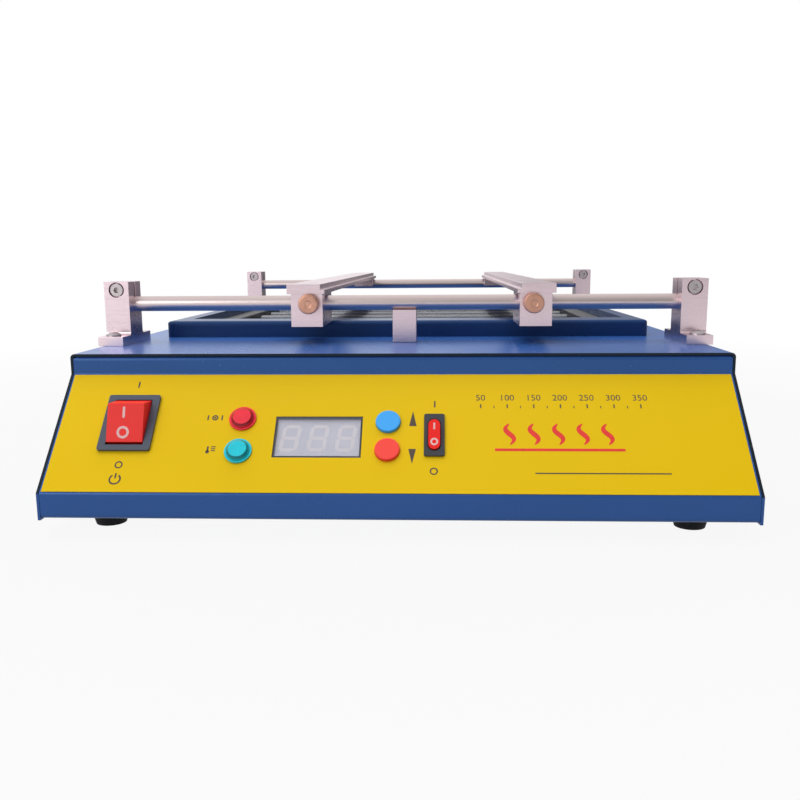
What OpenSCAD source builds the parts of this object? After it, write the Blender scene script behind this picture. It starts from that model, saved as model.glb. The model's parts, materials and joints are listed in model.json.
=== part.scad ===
// Infrared preheater for circuit boards: a low steel housing with a sloped control panel,
// a heater well in its deck, and two sliding arms that hold a board above the well.
// Millimetres. X points right, Y back and Z up. The origin is on the table under the middle.

/* [Housing] */
// Width over the cover's side walls
body_w = 312; // [304:1:340]
// Depth from the lower front band to the rear wall
body_d = 478; // [466:1:520]
// Height of the upright band under the control panel
lower_band_h = 11.5; // [9:0.5:16]
// Height that the sloped control panel takes up
slope_drop = 46.5; // [45:0.5:56]
// Depth that the sloped control panel takes up
slope_run = 44; // [42:0.5:54]
// Height of the upright band between the panel and the deck
upper_band_h = 9.5; // [7:0.5:14]
// Thickness of the sheet steel
sheet_t = 1.2; // [1:0.1:1.6]
// Inside radius of the bends
bend_r = 0.8; // [0.5:0.1:1.2]
// How far the cover's walls reach below the chassis
skirt_drop = 0.7; // [0.3:0.1:2]
// Gap between the cover's walls and the chassis
cover_gap = 0.2; // [0.1:0.05:0.5]
// Width of the chassis lips that carry the deck
lip_w = 13; // [10:0.5:18]
// Height of the base flanges that the cover is screwed to
flange_h = 15; // [13:0.5:22]
// Distance of the base flanges from the front and rear of the chassis
flange_inset = 30; // [20:1:60]
// Diameter of the cover's screws
cover_screw_d = 3; // [2.5:0.5:4]

/* [Vents] */
// Length of a vent slot
vent_l = 26; // [16:1:32]
// Width of a vent slot
vent_w = 3; // [2:0.5:3.5]
// Distance between vent slots
vent_pitch = 8; // [6:0.5:12]
// Number of slots in a side wall
side_vents = 12; // [4:1:16]
// Height of the side slots above the base
side_vent_z = 33; // [31:1:38]
// Number of slots in a row of the base
base_vents = 14; // [6:1:18]
// Distance of each base row from the middle of the heater
base_vent_x = 60; // [40:1:80]

/* [Feet] */
// Height of a rubber foot
foot_h = 8; // [6:0.5:14]
// Diameter of a foot at the chassis
foot_top_d = 18; // [15:0.5:26]
// Diameter of a foot on the table
foot_bottom_d = 13.5; // [12:0.5:15]
// Distance from the side of the housing to a foot's middle
foot_inset_x = 24; // [18:1:60]
// Distance from the front or rear of the housing to a foot's middle
foot_inset_y = 22; // [16:1:60]
// Diameter of a foot's screw
foot_screw_d = 4; // [3:0.5:4.5]
// Diameter of a foot screw's head
foot_head_d = 7; // [6:0.5:8]
// Height of a foot screw's head
foot_head_h = 2.6; // [2:0.2:3]

/* [Rods and posts] */
// Diameter of the two rods
rod_d = 8; // [6:0.5:9]
// Distance from the deck's front edge to the front rod
rod_setback = 57.5; // [50:0.5:66]
// Distance from the deck's rear edge to the rear rod
rear_setback = 39.5; // [38:0.5:48]
// Height of the rods over the deck
rod_height = 20.8; // [19:0.1:22]
// Width of a post along the rod
post_w = 13.2; // [12:0.1:16]
// How far a post hangs over the housing's side
post_overhang = 1; // [0:0.1:1]
// Length of a post's foot
post_foot_l = 42; // [40:1:50]
// Thickness of a post's foot
post_foot_t = 4.8; // [4:0.2:8]
// Length of a post's upright
post_upright_l = 18; // [16:0.5:20]
// Height of a post
post_h = 32.8; // [32:0.2:38]
// Rounding between a post's foot and its upright
post_fillet_r = 1.5; // [0.5:0.1:2.5]
// Distance between the two screws in a post's foot
post_hole_pitch = 32; // [30:0.5:34]
// Width of a post's clamping slit
clamp_slit = 1.6; // [1:0.1:2]
// Diameter of a clamping screw
clamp_screw_d = 4; // [3:0.5:4]
// Height of a clamping screw over the deck
clamp_screw_z = 28.4; // [28:0.1:28.8]
// Diameter of a clamping screw's head
clamp_head_d = 6.6; // [6:0.2:7]
// Gap round a clamping screw's head
clamp_head_gap = 0.7; // [0.2:0.1:0.8]
// Height of a clamping screw's head
clamp_head_h = 4; // [3:0.5:4]
// Diameter of a screw in a post's foot
base_screw_d = 4; // [3:0.5:5]
// Diameter of the head of a screw in a post's foot
base_head_d = 7.6; // [6:0.2:9]
// Height of the head of a screw in a post's foot
base_head_h = 2.4; // [2:0.2:3]
// Radial clearance between a rod and what it runs through
rod_fit = 0.05; // [0.02:0.01:0.1]

/* [Rod rest] */
// Width of the rest under the front rod
rest_w = 12.6; // [8:0.2:16]
// Depth of the rest
rest_l = 9.4; // [9.4:0.2:14]
// Depth of the groove in the rest's top for the rod
rest_groove = 0.4; // [0.4:0.1:2]
// Place of the rest along the rod
rest_x = 1.4; // [-6:0.2:6]

/* [Arms] */
// Place of the left arm's slider
left_arm_x = -48.9; // [-120:0.1:-20]
// Place of the right arm's slider
right_arm_x = 69.2; // [20:0.1:120]
// Height of the bars' underside over the deck
bar_height = 26; // [25.5:0.1:29]
// Thickness of a bar
bar_t = 5; // [4:0.2:8]
// Distance from the slider's middle to the bar's outer edge
bar_outer = 10.2; // [8.4:0.1:14]
// Distance from the slider's middle to the bar's inner edge
bar_inner = 7.2; // [5:0.1:9]
// Width of the ledge that carries the board
ledge_w = 2.2; // [1.5:0.1:5]
// Thickness of the ledge
ledge_t = 2.2; // [1.5:0.1:3]
// Reach of a bar in front of the front rod
bar_front = 14; // [13:0.5:24]
// Reach of a bar behind the rear rod
bar_rear = 13; // [11:0.5:24]
// Width of a slider along the rod
slider_w = 16.4; // [12:0.2:18]
// Height of a slider
slider_h = 16.9; // [14.8:0.1:18]
// Reach of a slider in front of the front rod
slider_front = 13.5; // [13:0.5:20]
// Gap between a slider and the heater frame
slider_gap = 4.5; // [2:0.5:10]
// Reach of a saddle in front of the rear rod
saddle_front = 13; // [12:0.5:20]
// Reach of a saddle behind the rear rod
saddle_rear = 8; // [7:0.5:10]
// Height of a saddle
saddle_h = 7; // [6:0.2:8]
// Diameter of an arm's screws
arm_screw_d = 3; // [2.5:0.5:4]
// Diameter of an arm screw's countersunk head
arm_head_d = 6; // [5.5:0.5:7]
// Length of an arm's screws
arm_screw_l = 7.5; // [6:0.5:7.5]

/* [Thumbscrews] */
// Diameter of a thumbscrew's disc
knob_d = 10.4; // [8:0.2:12]
// Thickness of a thumbscrew's disc
knob_t = 5; // [2.5:0.5:8]
// Distance of a thumbscrew from its slider's middle, toward the board
knob_x = 1.4; // [0:0.1:2]
// Height of a thumbscrew over the rod's middle
knob_rise = 0.2; // [0:0.1:1.2]
// Rounding of the disc's rim
knob_edge = 0.5; // [0.2:0.1:0.9]
// Diameter of a thumbscrew's shank
knob_shank_d = 4; // [3:0.5:5]
// Gap between a disc and its slider
knob_gap = 0.4; // [0.3:0.1:1]
// Radial clearance of a shank in its slider
knob_fit = 0.05; // [0.02:0.01:0.1]
// Gap between a shank's tip and the rod
tip_gap = 0.3; // [0.2:0.1:0.5]

/* [Heater] */
// Width of the raised frame
frame_w = 273; // [264:1:280]
// Distance of the raised frame from the rods
frame_gap = 28.5; // [26:0.5:32]
// Height of the raised frame over the deck
frame_h = 9.2; // [8:0.2:10]
// Width of the frame's rim along its sides
rim_w = 10; // [8:0.5:19]
// Width of the frame's rim at its front and rear
rim_d = 19; // [17:0.5:24]
// Rounding of the frame's outer edges
frame_edge_r = 2.4; // [2:0.1:4]
// Drop of the frame's inner wall
frame_drop = 5.6; // [3:0.2:6]
// Distance of the frame's screws from its sides
frame_screw_inset = 44; // [30:1:70]
// Diameter of the frame's screws
frame_screw_d = 4; // [3:0.5:5]
// Diameter of the head of a frame screw
frame_head_d = 8.6; // [7:0.2:10]
// Height of the head of a frame screw
frame_head_h = 2.2; // [1.6:0.2:3]
// Diameter of the frame's bosses
boss_d = 8; // [7:0.5:9]
// Thickness of the heater pan's sheet
pan_t = 0.8; // [0.6:0.1:1]
// Depth of the heater pan under the deck
pan_depth = 36; // [32:1:42]
// Width of the pan's lip on the deck
pan_lip = 4; // [2:0.2:4]
// Gap between the pan and the deck's opening
pan_gap = 0.4; // [0.2:0.1:0.8]
// Number of infrared tubes
tube_count = 6; // [4:1:7]
// Free edge of the reflector in front of the first tube's bay
tube_edge = 7; // [4:0.5:12]
// Diameter of a tube
tube_d = 12; // [10:0.5:14]
// Wall of a tube
tube_wall = 1.2; // [0.8:0.1:2]
// Depth of the tubes' middle under the deck
tube_drop = 4; // [2:0.5:8]
// Diameter of a heating coil
coil_d = 6; // [4:0.5:7]
// Diameter of a coil's lead
lead_d = 2; // [1.5:0.1:3]
// Distance from a rail's web to the pan's wall
rail_w = 11; // [9:0.5:16]
// Gap between a rail and the pan's wall
rail_gap = 0.3; // [0.2:0.1:1]
// Gap between the reflector and the rails
reflector_gap = 0.5; // [0.2:0.1:2]
// Gap between a rail's top and the end caps
rail_clear = 0.3; // [0.2:0.1:1]
// Width of a rail's foot
rail_foot = 8; // [6:0.5:10]
// Length of an end cap
cap_l = 8; // [6:0.5:8]
// Wall of an end cap round its tube
cap_wall = 1; // [0.8:0.1:2]
// Depth of an end cap's socket
cap_socket = 5; // [3:0.5:5.5]
// Radial clearance round a tube
tube_fit = 0.15; // [0.1:0.05:0.3]
// Height of the reflector's ridges
ridge_h = 9; // [5:0.5:14]
// Thickness of the insulation board
insulation_t = 8; // [4:0.5:10]
// Diameter of the thermocouple's probe
probe_d = 3; // [2:0.5:5]
// Reach of the probe into the pan
probe_l = 52; // [20:1:80]
// Depth of the probe under the deck
probe_drop = 20; // [17:0.5:24]

/* [Panel] */
// Thickness of the panel's label
label_t = 0.4; // [0.2:0.1:0.6]
// Margin of the label at the panel's bends
label_margin = 0.8; // [0.8:0.1:2]
// Distance of the power switch from the housing's left side
power_inset = 34.4; // [30:0.1:56]
// Place of the power switch down the panel
power_s = 28.1; // [24:0.1:34]
// Place of the heater switch across the panel
heater_x = 17.45; // [16:0.1:40]
// Place of the heater switch down the panel
heater_s = 34.2; // [20:0.1:42]
// Place of the display across the panel
display_x = -34.7; // [-36:0.1:-33]
// Place of the display down the panel
display_s = 35; // [32:0.1:38]
// Width of the display's window
display_w = 39.6; // [38.6:0.1:42]
// Height of the display's window
display_l = 21.6; // [20.4:0.1:24]
// Place of the two lamps across the panel
lamp_x = -69.75; // [-72:0.1:-66]
// Place of the set lamp down the panel
set_s = 25.7; // [24:0.1:27]
// Place of the current lamp down the panel
current_s = 42.7; // [41:0.1:44]
// Place of the two buttons across the panel
button_x = -3.35; // [-4.5:0.05:-2]
// Place of the up button down the panel
up_s = 27.4; // [25:0.1:27.6]
// Place of the down button down the panel
down_s = 42; // [42:0.1:44]
// Clearance of a fixed piece in its cut-out
panel_fit = 0.2; // [0.1:0.05:0.4]

/* [Lamps and buttons] */
// Diameter of a lamp's rim
lamp_d = 12.3; // [11.6:0.1:14]
// Diameter of a lamp's lens over its rim
lamp_lens_d = 10.4; // [9:0.1:11]
// Diameter of a lamp's lens at its top
lamp_top_d = 8; // [6:0.1:8.8]
// Height of a lamp's lens
lamp_h = 2.6; // [2:0.1:6]
// Height of a lamp's rim
lamp_rim_h = 0.8; // [0.4:0.1:1]
// Diameter of a lamp's shank
lamp_shank_d = 7.8; // [6:0.1:8]
// Height of a lamp's nut
lamp_nut_h = 2.4; // [2:0.1:4]
// Diameter of a button
button_d = 11.2; // [10:0.1:12]
// Height of a button over the panel
button_h = 1.6; // [1.5:0.1:5]
// Rounding of a button's edge
button_edge = 0.5; // [0.3:0.1:1.2]
// Radial clearance of a button in the panel
button_fit = 0.1; // [0.05:0.01:0.2]
// Width of a button's collar behind the panel
button_collar = 1.1; // [0.6:0.1:1.2]
// Diameter of a button's stem
stem_d = 3.5; // [2.5:0.1:4]
// Travel of a button
button_travel = 1.2; // [0.5:0.1:1.5]

/* [Power switch] */
// Width of the power switch's bezel
power_bezel_w = 24; // [23:0.1:27]
// Length of the power switch's bezel
power_bezel_l = 29.6; // [29:0.1:33]
// Height of the power switch's bezel
power_bezel_h = 1.4; // [1.2:0.1:3]
// Width of the power switch's body
power_body_w = 21.6; // [21:0.1:22.4]
// Length of the power switch's body
power_body_l = 27.6; // [27:0.1:28.4]
// Depth of the power switch's body
power_body_d = 24; // [20:0.5:26]
// Width of the power rocker
power_rocker_w = 16.6; // [14:0.1:17.4]
// Length of the power rocker's face
power_face_l = 17.5; // [15:0.1:18]
// Run-out of each end of the power rocker, from its face to its underside
power_draft = 2.7; // [1.5:0.1:3]
// Height of the power rocker's face over its pivot
power_rise = 7; // [6.6:0.1:8]
// Depth of the power rocker's underside under its pivot
power_low = 2.7; // [2:0.1:3]
// Depth of the power rocker's pivot under the bezel's seat
power_pivot = 1; // [0.9:0.1:1.4]
// Half of the power rocker's swing
power_tilt = 25; // [20:0.5:26]

/* [Heater switch] */
// Width of the heater switch's bezel
heater_bezel_w = 9.2; // [8.8:0.1:11]
// Length of the heater switch's bezel
heater_bezel_l = 21.8; // [21.6:0.1:25]
// Height of the heater switch's bezel
heater_bezel_h = 1; // [0.8:0.1:2]
// Width of the heater switch's body
heater_body_w = 7.8; // [7.6:0.1:8.2]
// Length of the heater switch's body
heater_body_l = 19.8; // [19.4:0.1:20.4]
// Depth of the heater switch's body
heater_body_d = 15; // [14:0.5:18]
// Width of the heater rocker
heater_rocker_w = 5.2; // [4.4:0.1:5.2]
// Length of the heater rocker's face
heater_face_l = 14; // [12:0.1:14.6]
// Height of the heater rocker's face over its pivot
heater_rise = 5.4; // [5:0.1:6]
// Depth of the heater rocker's underside under its pivot
heater_low = 1.5; // [1.3:0.1:2]
// Depth of the heater rocker's pivot under the bezel's seat
heater_pivot = 2.2; // [2:0.1:2.6]
// Half of the heater rocker's swing
heater_tilt = 12; // [8:0.5:12]

/* [Rockers] */
// Clearance round a rocker
rocker_gap = 0.3; // [0.2:0.05:0.4]
// Radius of a rocker's trunnions
trunnion_r = 1.2; // [0.8:0.1:1.3]
// Reach of a trunnion beyond the rocker's side
trunnion_l = 0.9; // [0.7:0.1:1]
// Radial clearance of a trunnion
trunnion_fit = 0.05; // [0.02:0.01:0.1]

/* [Boards] */
// Thickness of a circuit board
board_t = 1.6; // [1:0.1:2.4]
// Depth of the control board behind the panel
control_depth = 13; // [12.4:0.1:15]
// Margin of the control board round its controls
control_margin = 7; // [6.5:0.5:9]
// Diameter of a standoff
standoff_d = 5; // [4:0.5:6]
// Thickness of the display behind its window
display_t = 8; // [6:0.5:9]
// Thickness of the display's window
window_t = 1.4; // [1:0.1:2]
// Side of a push switch behind a button
tact_w = 6.2; // [5.4:0.1:8]
// Height of a push switch
tact_h = 3.6; // [3.2:0.1:4.2]
// Width of the power board
power_board_w = 130; // [110:1:150]
// Depth of the power board
power_board_l = 72; // [66:1:74]
// Height of the power board's standoffs
power_standoff_h = 7; // [5:0.5:10]
// Distance of the power board's middle from the housing's right side
power_board_side = 104; // [96:1:130]
// Distance from the chassis front to the power board
power_board_inset = 62; // [60:1:66]
// Distance of the transformer's middle from the housing's left side
transformer_side = 76; // [60:1:90]
// Width of the transformer's core
core_w = 48; // [40:1:54]
// Depth of the transformer's core
core_l = 22; // [18:1:30]
// Height of the transformer's core
core_h = 40; // [30:1:44]
// Length of the heatsink
heatsink_l = 50; // [40:1:60]
// Height of the heatsink
heatsink_h = 28; // [22:1:34]
// Depth of the heatsink's fins
fin_l = 14; // [10:0.5:18]
// Length of the terminal block
terminal_l = 40; // [30:1:60]

/* [Inlet] */
// Distance of the mains inlet from the housing's left side
inlet_inset = 56; // [38:1:90]
// Height of the mains inlet's middle over the base
inlet_z = 31; // [26:1:36]
// Width of the inlet's flange
inlet_w = 32; // [30:0.5:36]
// Height of the inlet's flange
inlet_h = 25; // [24:0.5:30]
// Thickness of the inlet's flange
inlet_t = 2; // [1.5:0.1:3]
// Width of the inlet's body
inlet_body_w = 27; // [26.6:0.1:28]
// Height of the inlet's body
inlet_body_h = 20; // [19.4:0.1:21]
// Depth of the inlet's body
inlet_body_d = 22; // [20:0.5:26]
// Width of the socket
socket_w = 24.4; // [24:0.1:25]
// Height of the socket
socket_h = 16.8; // [16:0.1:17.2]
// Depth of the socket
socket_d = 17; // [16.5:0.5:19]
// Free depth in front of the pins
pin_recess = 5; // [4.5:0.1:6]
// Width of a contact blade
pin_w = 2; // [1.5:0.1:2.5]
// Height of a contact blade
pin_h = 4; // [3:0.1:5]
// Distance between the outer contact blades
pin_pitch = 14; // [13:0.1:15]

/* [Hidden] */
$fn = 64;
eps = 0.01;
bend_steps = 6;
hole_fit = 0.25;
seat_gap = 0.01;
nut_k = 0.8;

base_z = foot_h;
deck_z = base_z + lower_band_h + slope_drop + upper_band_h;
front_y = -(body_d + inlet_t) / 2;
rear_y = front_y + body_d;
middle_y = (front_y + rear_y) / 2;
deck_front_y = front_y + slope_run;
panel_top_z = deck_z - upper_band_h;
panel_bottom_z = base_z + lower_band_h;
slope_l = norm([slope_run, slope_drop]);
slope_tilt = atan2(slope_drop, slope_run);
chassis_w = body_w - 2 * sheet_t - 2 * cover_gap;
floor_z = base_z + sheet_t;
under_deck = deck_z - sheet_t;

front_rod_y = deck_front_y + rod_setback;
rear_rod_y = rear_y - rear_setback;
rod_spacing = rear_rod_y - front_rod_y;
rod_z = deck_z + rod_height;
rod_r = rod_d / 2;
bore_r = rod_r + rod_fit;
post_x = body_w / 2 + post_overhang - post_w / 2;
rest_h = rod_height - rod_r + rest_groove;
bar_z = deck_z + bar_height;
slider_back = frame_gap - slider_gap;
heater_y = (front_rod_y + rear_rod_y) / 2;

frame_d = rod_spacing - 2 * frame_gap;
frame_screw_x = frame_w / 2 - frame_screw_inset;
frame_screw_y = frame_d / 2 - rim_d / 2;
frame_screw_l = frame_h - sheet_t;
window_w = frame_w - 2 * rim_w;
window_d = frame_d - 2 * rim_d;
pan_w = window_w + 2 * pan_t;
pan_d = window_d + 2 * pan_t;
pan_floor = deck_z - pan_depth + pan_t;
opening_w = pan_w + 2 * pan_gap;
opening_d = pan_d + 2 * pan_gap;
rail_x = window_w / 2 - rail_w;
tube_pitch = (window_d - 2 * tube_edge) / tube_count;
tube_z = deck_z - tube_drop;
tube_r = tube_d / 2;
cap_x = rail_x + pan_t;
cap_r = tube_r + tube_fit + cap_wall;
rail_top_z = tube_z + cap_r + rail_clear + 1.5 * pan_t;
probe_z = deck_z - probe_drop;

power_x = power_inset - body_w / 2;
power_half = power_face_l / 2 + power_draft;
power_reach = rocker_reach(power_face_l, power_half, power_rise, power_low, power_tilt);
heater_half = heater_face_l / 2;
heater_reach = rocker_reach(heater_face_l, heater_half, heater_rise, heater_low, heater_tilt);
button_r = button_d / 2;
collar_z = -sheet_t - 0.15;
collar_t = 1.2;
lamp_r = lamp_shank_d / 2;
control_left = lamp_x - lamp_d / 2 - control_margin;
control_right = button_x + button_r + control_margin - 4;
control_top = min(set_s, up_s, display_s - display_l / 2) - control_margin - 3;
control_bottom = max(current_s, down_s, display_s + display_l / 2) + control_margin + 1;
standoff_in = standoff_d / 2 + 0.5;

power_board_x = body_w / 2 - power_board_side;
transformer_x = transformer_side - body_w / 2;
power_board_y = front_y + power_board_inset + power_board_l / 2;
power_board_z = floor_z + power_standoff_h;
power_top = power_board_z + board_t;
transformer_y = power_board_y;
inlet_x = inlet_inset - body_w / 2;
inlet_mid = base_z + inlet_z;
pin_places = [[-pin_pitch / 2, -pin_h / 2], [0, pin_h / 2], [pin_pitch / 2, -pin_h / 2]];
foot_x = body_w / 2 - foot_inset_x;

// Directions and turns along a folded path
function unit(v) = v / norm(v);
function left_of(d) = [-d[1], d[0]];
function turn(a, b) = atan2(a[0] * b[1] - a[1] * b[0], a * b);

// A profile drawn in Y and Z, stretched along X
module along_x(w) rotate([90, 0, 90]) linear_extrude(w, center = true) children();

// A profile drawn in X and Z, stretched along Y
module along_y(d) rotate([90, 0, 0]) linear_extrude(d, center = true) children();

// A cylinder that runs back along Y from its start
module rod_back(d, l) rotate([-90, 0, 0]) cylinder(d = d, h = l);

// Points along a round bend, from one angle through a sweep
function arc(middle, r, from, sweep) = [
    for (k = [0 : bend_steps]) let (a = from + sweep * k / bend_steps)
        middle + r * [cos(a), sin(a)]
];

// Outline of sheet folded along a path, with the sheet on the path's left and round bends
function folded_outline(path, t, r) = let (
    last = len(path) - 1,
    dirs = [for (i = [0 : last - 1]) unit(path[i + 1] - path[i])],
    turns = [for (i = [1 : last - 1]) turn(dirs[i - 1], dirs[i])],
    radii = [for (a = turns) a > 0 ? r + t : r],
    normals = [for (i = [1 : last - 1]) left_of(dirs[i - 1]) * sign(turns[i - 1])],
    middles = [for (i = [1 : last - 1]) path[i]
        - dirs[i - 1] * radii[i - 1] * tan(abs(turns[i - 1]) / 2)
        + normals[i - 1] * radii[i - 1]],
    starts = [for (n = normals) atan2(-n[1], -n[0])],
    near = [for (i = [0 : last - 2]) each arc(middles[i], radii[i], starts[i], turns[i])],
    far = [for (i = [last - 2 : -1 : 0]) each arc(middles[i], radii[i] - sign(turns[i]) * t,
        starts[i] + turns[i], -turns[i])]
) concat(
    [path[0]], near, [path[last], path[last] + left_of(dirs[last - 1]) * t],
    far, [path[0] + left_of(dirs[0]) * t]
);
module folded_sheet(path, t, r) polygon(folded_outline(path, t, r));

// Rectangle with round corners
module round_rect(w, h, r) {
    square([w - 2 * r, h], center = true);
    square([w, h - 2 * r], center = true);
    for (x = [-1, 1], y = [-1, 1])
        translate([x * (w / 2 - r), y * (h / 2 - r)]) circle(r);
}

// Slot with round ends, lying along its first axis
module slot(l, w) {
    square([l - w, w], center = true);
    for (x = [-1, 1]) translate([x * (l - w) / 2, 0]) circle(d = w);
}

// Rectangle standing on its base line, with round upper corners
module arch(w, h, r) {
    translate([-w / 2, 0]) square([w, h - r]);
    translate([-w / 2 + r, 0]) square([w - 2 * r, h]);
    for (x = [-1, 1]) translate([x * (w / 2 - r), h - r]) circle(r);
}

// Block whose upper edges and corners are round
module soft_block(w, d, h, r) intersection() {
    along_x(w) arch(d, h, r);
    along_y(d) arch(w, h, r);
    linear_extrude(h) round_rect(w, d, r);
}

// Places a piece on the sloped panel: X across, Y up the slope, Z out of the panel
module on_panel(x, s) translate([x, deck_front_y, panel_top_z]) rotate([slope_tilt, 0, 0])
    translate([0, -s, 0]) children();

// Outlines that pass through the panel and its label
module panel_holes() {
    translate([power_x, -power_s])
        square([power_body_w + 2 * panel_fit, power_body_l + 2 * panel_fit], center = true);
    translate([heater_x, -heater_s])
        square([heater_body_w + 2 * panel_fit, heater_body_l + 2 * panel_fit], center = true);
    translate([display_x, -display_s]) square([display_w, display_l], center = true);
    for (s = [set_s, current_s]) translate([lamp_x, -s]) circle(lamp_r + panel_fit);
    for (s = [up_s, down_s]) translate([button_x, -s]) circle(button_r + button_fit);
}

// Puts a copy at each foot
module at_feet() for (x = [-1, 1], y = [-1, 1])
    translate([x * (body_w / 2 - foot_inset_x), y == -1 ? front_y + foot_inset_y
        : rear_y - foot_inset_y, 0]) children();

// Puts a copy at each post, on the deck under the rod
module at_posts() for (x = [-1, 1], y = [front_rod_y, rear_rod_y])
    translate([x * post_x, y, deck_z]) children();

// Puts a copy at each screw in the posts' feet
module at_post_screws() at_posts() for (y = [-1, 1])
    translate([0, y * post_hole_pitch / 2, 0]) children();

// Puts a copy at each screw of the heater frame
module at_frame_screws() for (x = [-1, 1], y = [-1, 1])
    translate([x * frame_screw_x, heater_y + y * frame_screw_y, deck_z]) children();

// Puts a copy at each screw of one side of the cover, with Z pointing outward
module at_cover_screws() for (x = [-1, 1], y = [-1, 0, 1])
    translate([x * body_w / 2, middle_y + y * (body_d / 2 - flange_inset - 22),
        base_z + flange_h / 2]) rotate([0, x * 90, 0]) children();

// Puts a copy at each tube of the heater
module at_tubes() for (i = [0 : tube_count - 1])
    translate([0, heater_y + (i - (tube_count - 1) / 2) * tube_pitch, tube_z]) children();

// Hexagonal nut hanging down from its seat
module nut(d) translate([0, 0, -nut_k * d]) rotate(30) cylinder(d = 2 * d, h = nut_k * d, $fn = 6);

// Screw that points down from its seat, with a domed head
module dome_screw(d, l, head_d, head_h) {
    translate([0, 0, -l]) cylinder(d = d, h = l + eps);
    intersection() {
        cylinder(d = head_d, h = head_h);
        translate([0, 0, head_h - dome_r(head_d, head_h)]) sphere(dome_r(head_d, head_h));
    }
}
// Radius of a dome whose rim is a third of its height up
function dome_r(d, h) = (pow(d / 2, 2) + pow(h * 2 / 3, 2)) / (h * 4 / 3);

// Folded front, base and rear of the housing
module chassis() color("royalblue") difference() {
    union() {
        along_x(chassis_w) folded_sheet([
            [deck_front_y + lip_w, under_deck],
            [deck_front_y, under_deck],
            [deck_front_y, panel_top_z],
            [front_y, panel_bottom_z],
            [front_y, base_z],
            [rear_y, base_z],
            [rear_y, under_deck],
            [rear_y - lip_w, under_deck]
        ], sheet_t, bend_r);
        for (x = [-1, 1])
            translate([x * (chassis_w - sheet_t) / 2, middle_y, base_z + flange_h / 2])
                cube([sheet_t, body_d - 2 * flange_inset, flange_h], center = true);
    }
    for (x = [-1, 1]) translate([x * chassis_w / 2, middle_y, under_deck])
        cube([2 * bend_r, body_d + 1, 2 * bend_r], center = true);
    on_panel(0, 0) translate([0, 0, -2 * sheet_t]) linear_extrude(3 * sheet_t) panel_holes();
    at_feet() cylinder(d = foot_screw_d + hole_fit, h = 2 * floor_z);
    at_cover_screws() translate([0, 0, -4 * sheet_t])
        cylinder(d = cover_screw_d + hole_fit, h = 6 * sheet_t);
    translate([inlet_x, rear_y, inlet_mid]) cube([inlet_body_w + 2 * panel_fit,
        4 * sheet_t, inlet_body_h + 2 * panel_fit], center = true);
    for (x = [-1, 1], i = [0 : base_vents - 1])
        translate([x * base_vent_x, heater_y + (i - (base_vents - 1) / 2) * vent_pitch, 0])
            linear_extrude(2 * floor_z) slot(vent_l, vent_w);
    translate([0, rear_y, base_z + side_vent_z]) for (i = [-4 : 4])
        translate([i * vent_pitch, 0, 0]) rotate([0, 90, 0])
            along_y(4 * sheet_t) slot(vent_l, vent_w);
}

// Deck with the two side walls
module cover() color("royalblue") difference() {
    intersection() {
        translate([0, middle_y, 0]) along_y(body_d) folded_sheet([
            [body_w / 2, base_z - skirt_drop],
            [body_w / 2, deck_z],
            [-body_w / 2, deck_z],
            [-body_w / 2, base_z - skirt_drop]
        ], sheet_t, bend_r);
        along_x(body_w + 2) polygon([
            [front_y, 0], [front_y, panel_bottom_z], [deck_front_y, panel_top_z],
            [deck_front_y, deck_z + 1], [rear_y, deck_z + 1], [rear_y, 0]
        ]);
    }
    translate([0, heater_y, deck_z]) cube([opening_w, opening_d, 4 * sheet_t], center = true);
    at_post_screws() translate([0, 0, -2 * sheet_t])
        cylinder(d = base_screw_d + hole_fit, h = 4 * sheet_t);
    at_frame_screws() translate([0, 0, -2 * sheet_t])
        cylinder(d = frame_screw_d + hole_fit, h = 4 * sheet_t);
    at_cover_screws() translate([0, 0, -2 * sheet_t])
        cylinder(d = cover_screw_d + hole_fit, h = 4 * sheet_t);
    for (i = [0 : side_vents - 1])
        translate([0, heater_y + (i - (side_vents - 1) / 2) * vent_pitch, base_z + side_vent_z])
            along_x(body_w + 2) rotate(90) slot(vent_l, vent_w);
}

// Film that covers the sloped panel
module front_label() color("gold") on_panel(0, 0) translate([0, 0, seat_gap])
    linear_extrude(label_t - 2 * seat_gap) difference() {
        translate([0, -slope_l / 2])
            square([chassis_w - 2 * label_margin, slope_l - 2 * label_margin], center = true);
        panel_holes();
    }

// Raised frame round the heater's window, with bosses for its screws
module heater_frame() color("royalblue") translate([0, heater_y, deck_z]) {
    difference() {
        union() {
            difference() {
                soft_block(frame_w, frame_d, frame_h, frame_edge_r);
                translate([0, 0, -eps]) soft_block(frame_w - 2 * sheet_t, frame_d - 2 * sheet_t,
                    frame_h - sheet_t + eps, frame_edge_r - sheet_t);
            }
            translate([0, 0, frame_h - frame_drop]) linear_extrude(frame_drop - sheet_t / 2)
                square([window_w + 2 * sheet_t, window_d + 2 * sheet_t], center = true);
            for (x = [-1, 1], y = [-1, 1])
                translate([x * frame_screw_x, y * frame_screw_y, 0])
                    cylinder(d = boss_d, h = frame_h - sheet_t / 2);
        }
        translate([0, 0, -1]) linear_extrude(frame_h + 2)
            square([window_w, window_d], center = true);
        for (x = [-1, 1], y = [-1, 1])
            translate([x * frame_screw_x, y * frame_screw_y, -1])
                cylinder(d = frame_screw_d + hole_fit, h = 1 + frame_h - 1.5 * sheet_t);
    }
}

// Screws of the heater frame, from under the deck into its bosses
module frame_screws() color("dimgray") at_frame_screws() translate([0, 0, -sheet_t])
    mirror([0, 0, 1]) dome_screw(frame_screw_d, frame_screw_l, frame_head_d, frame_head_h);

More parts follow.
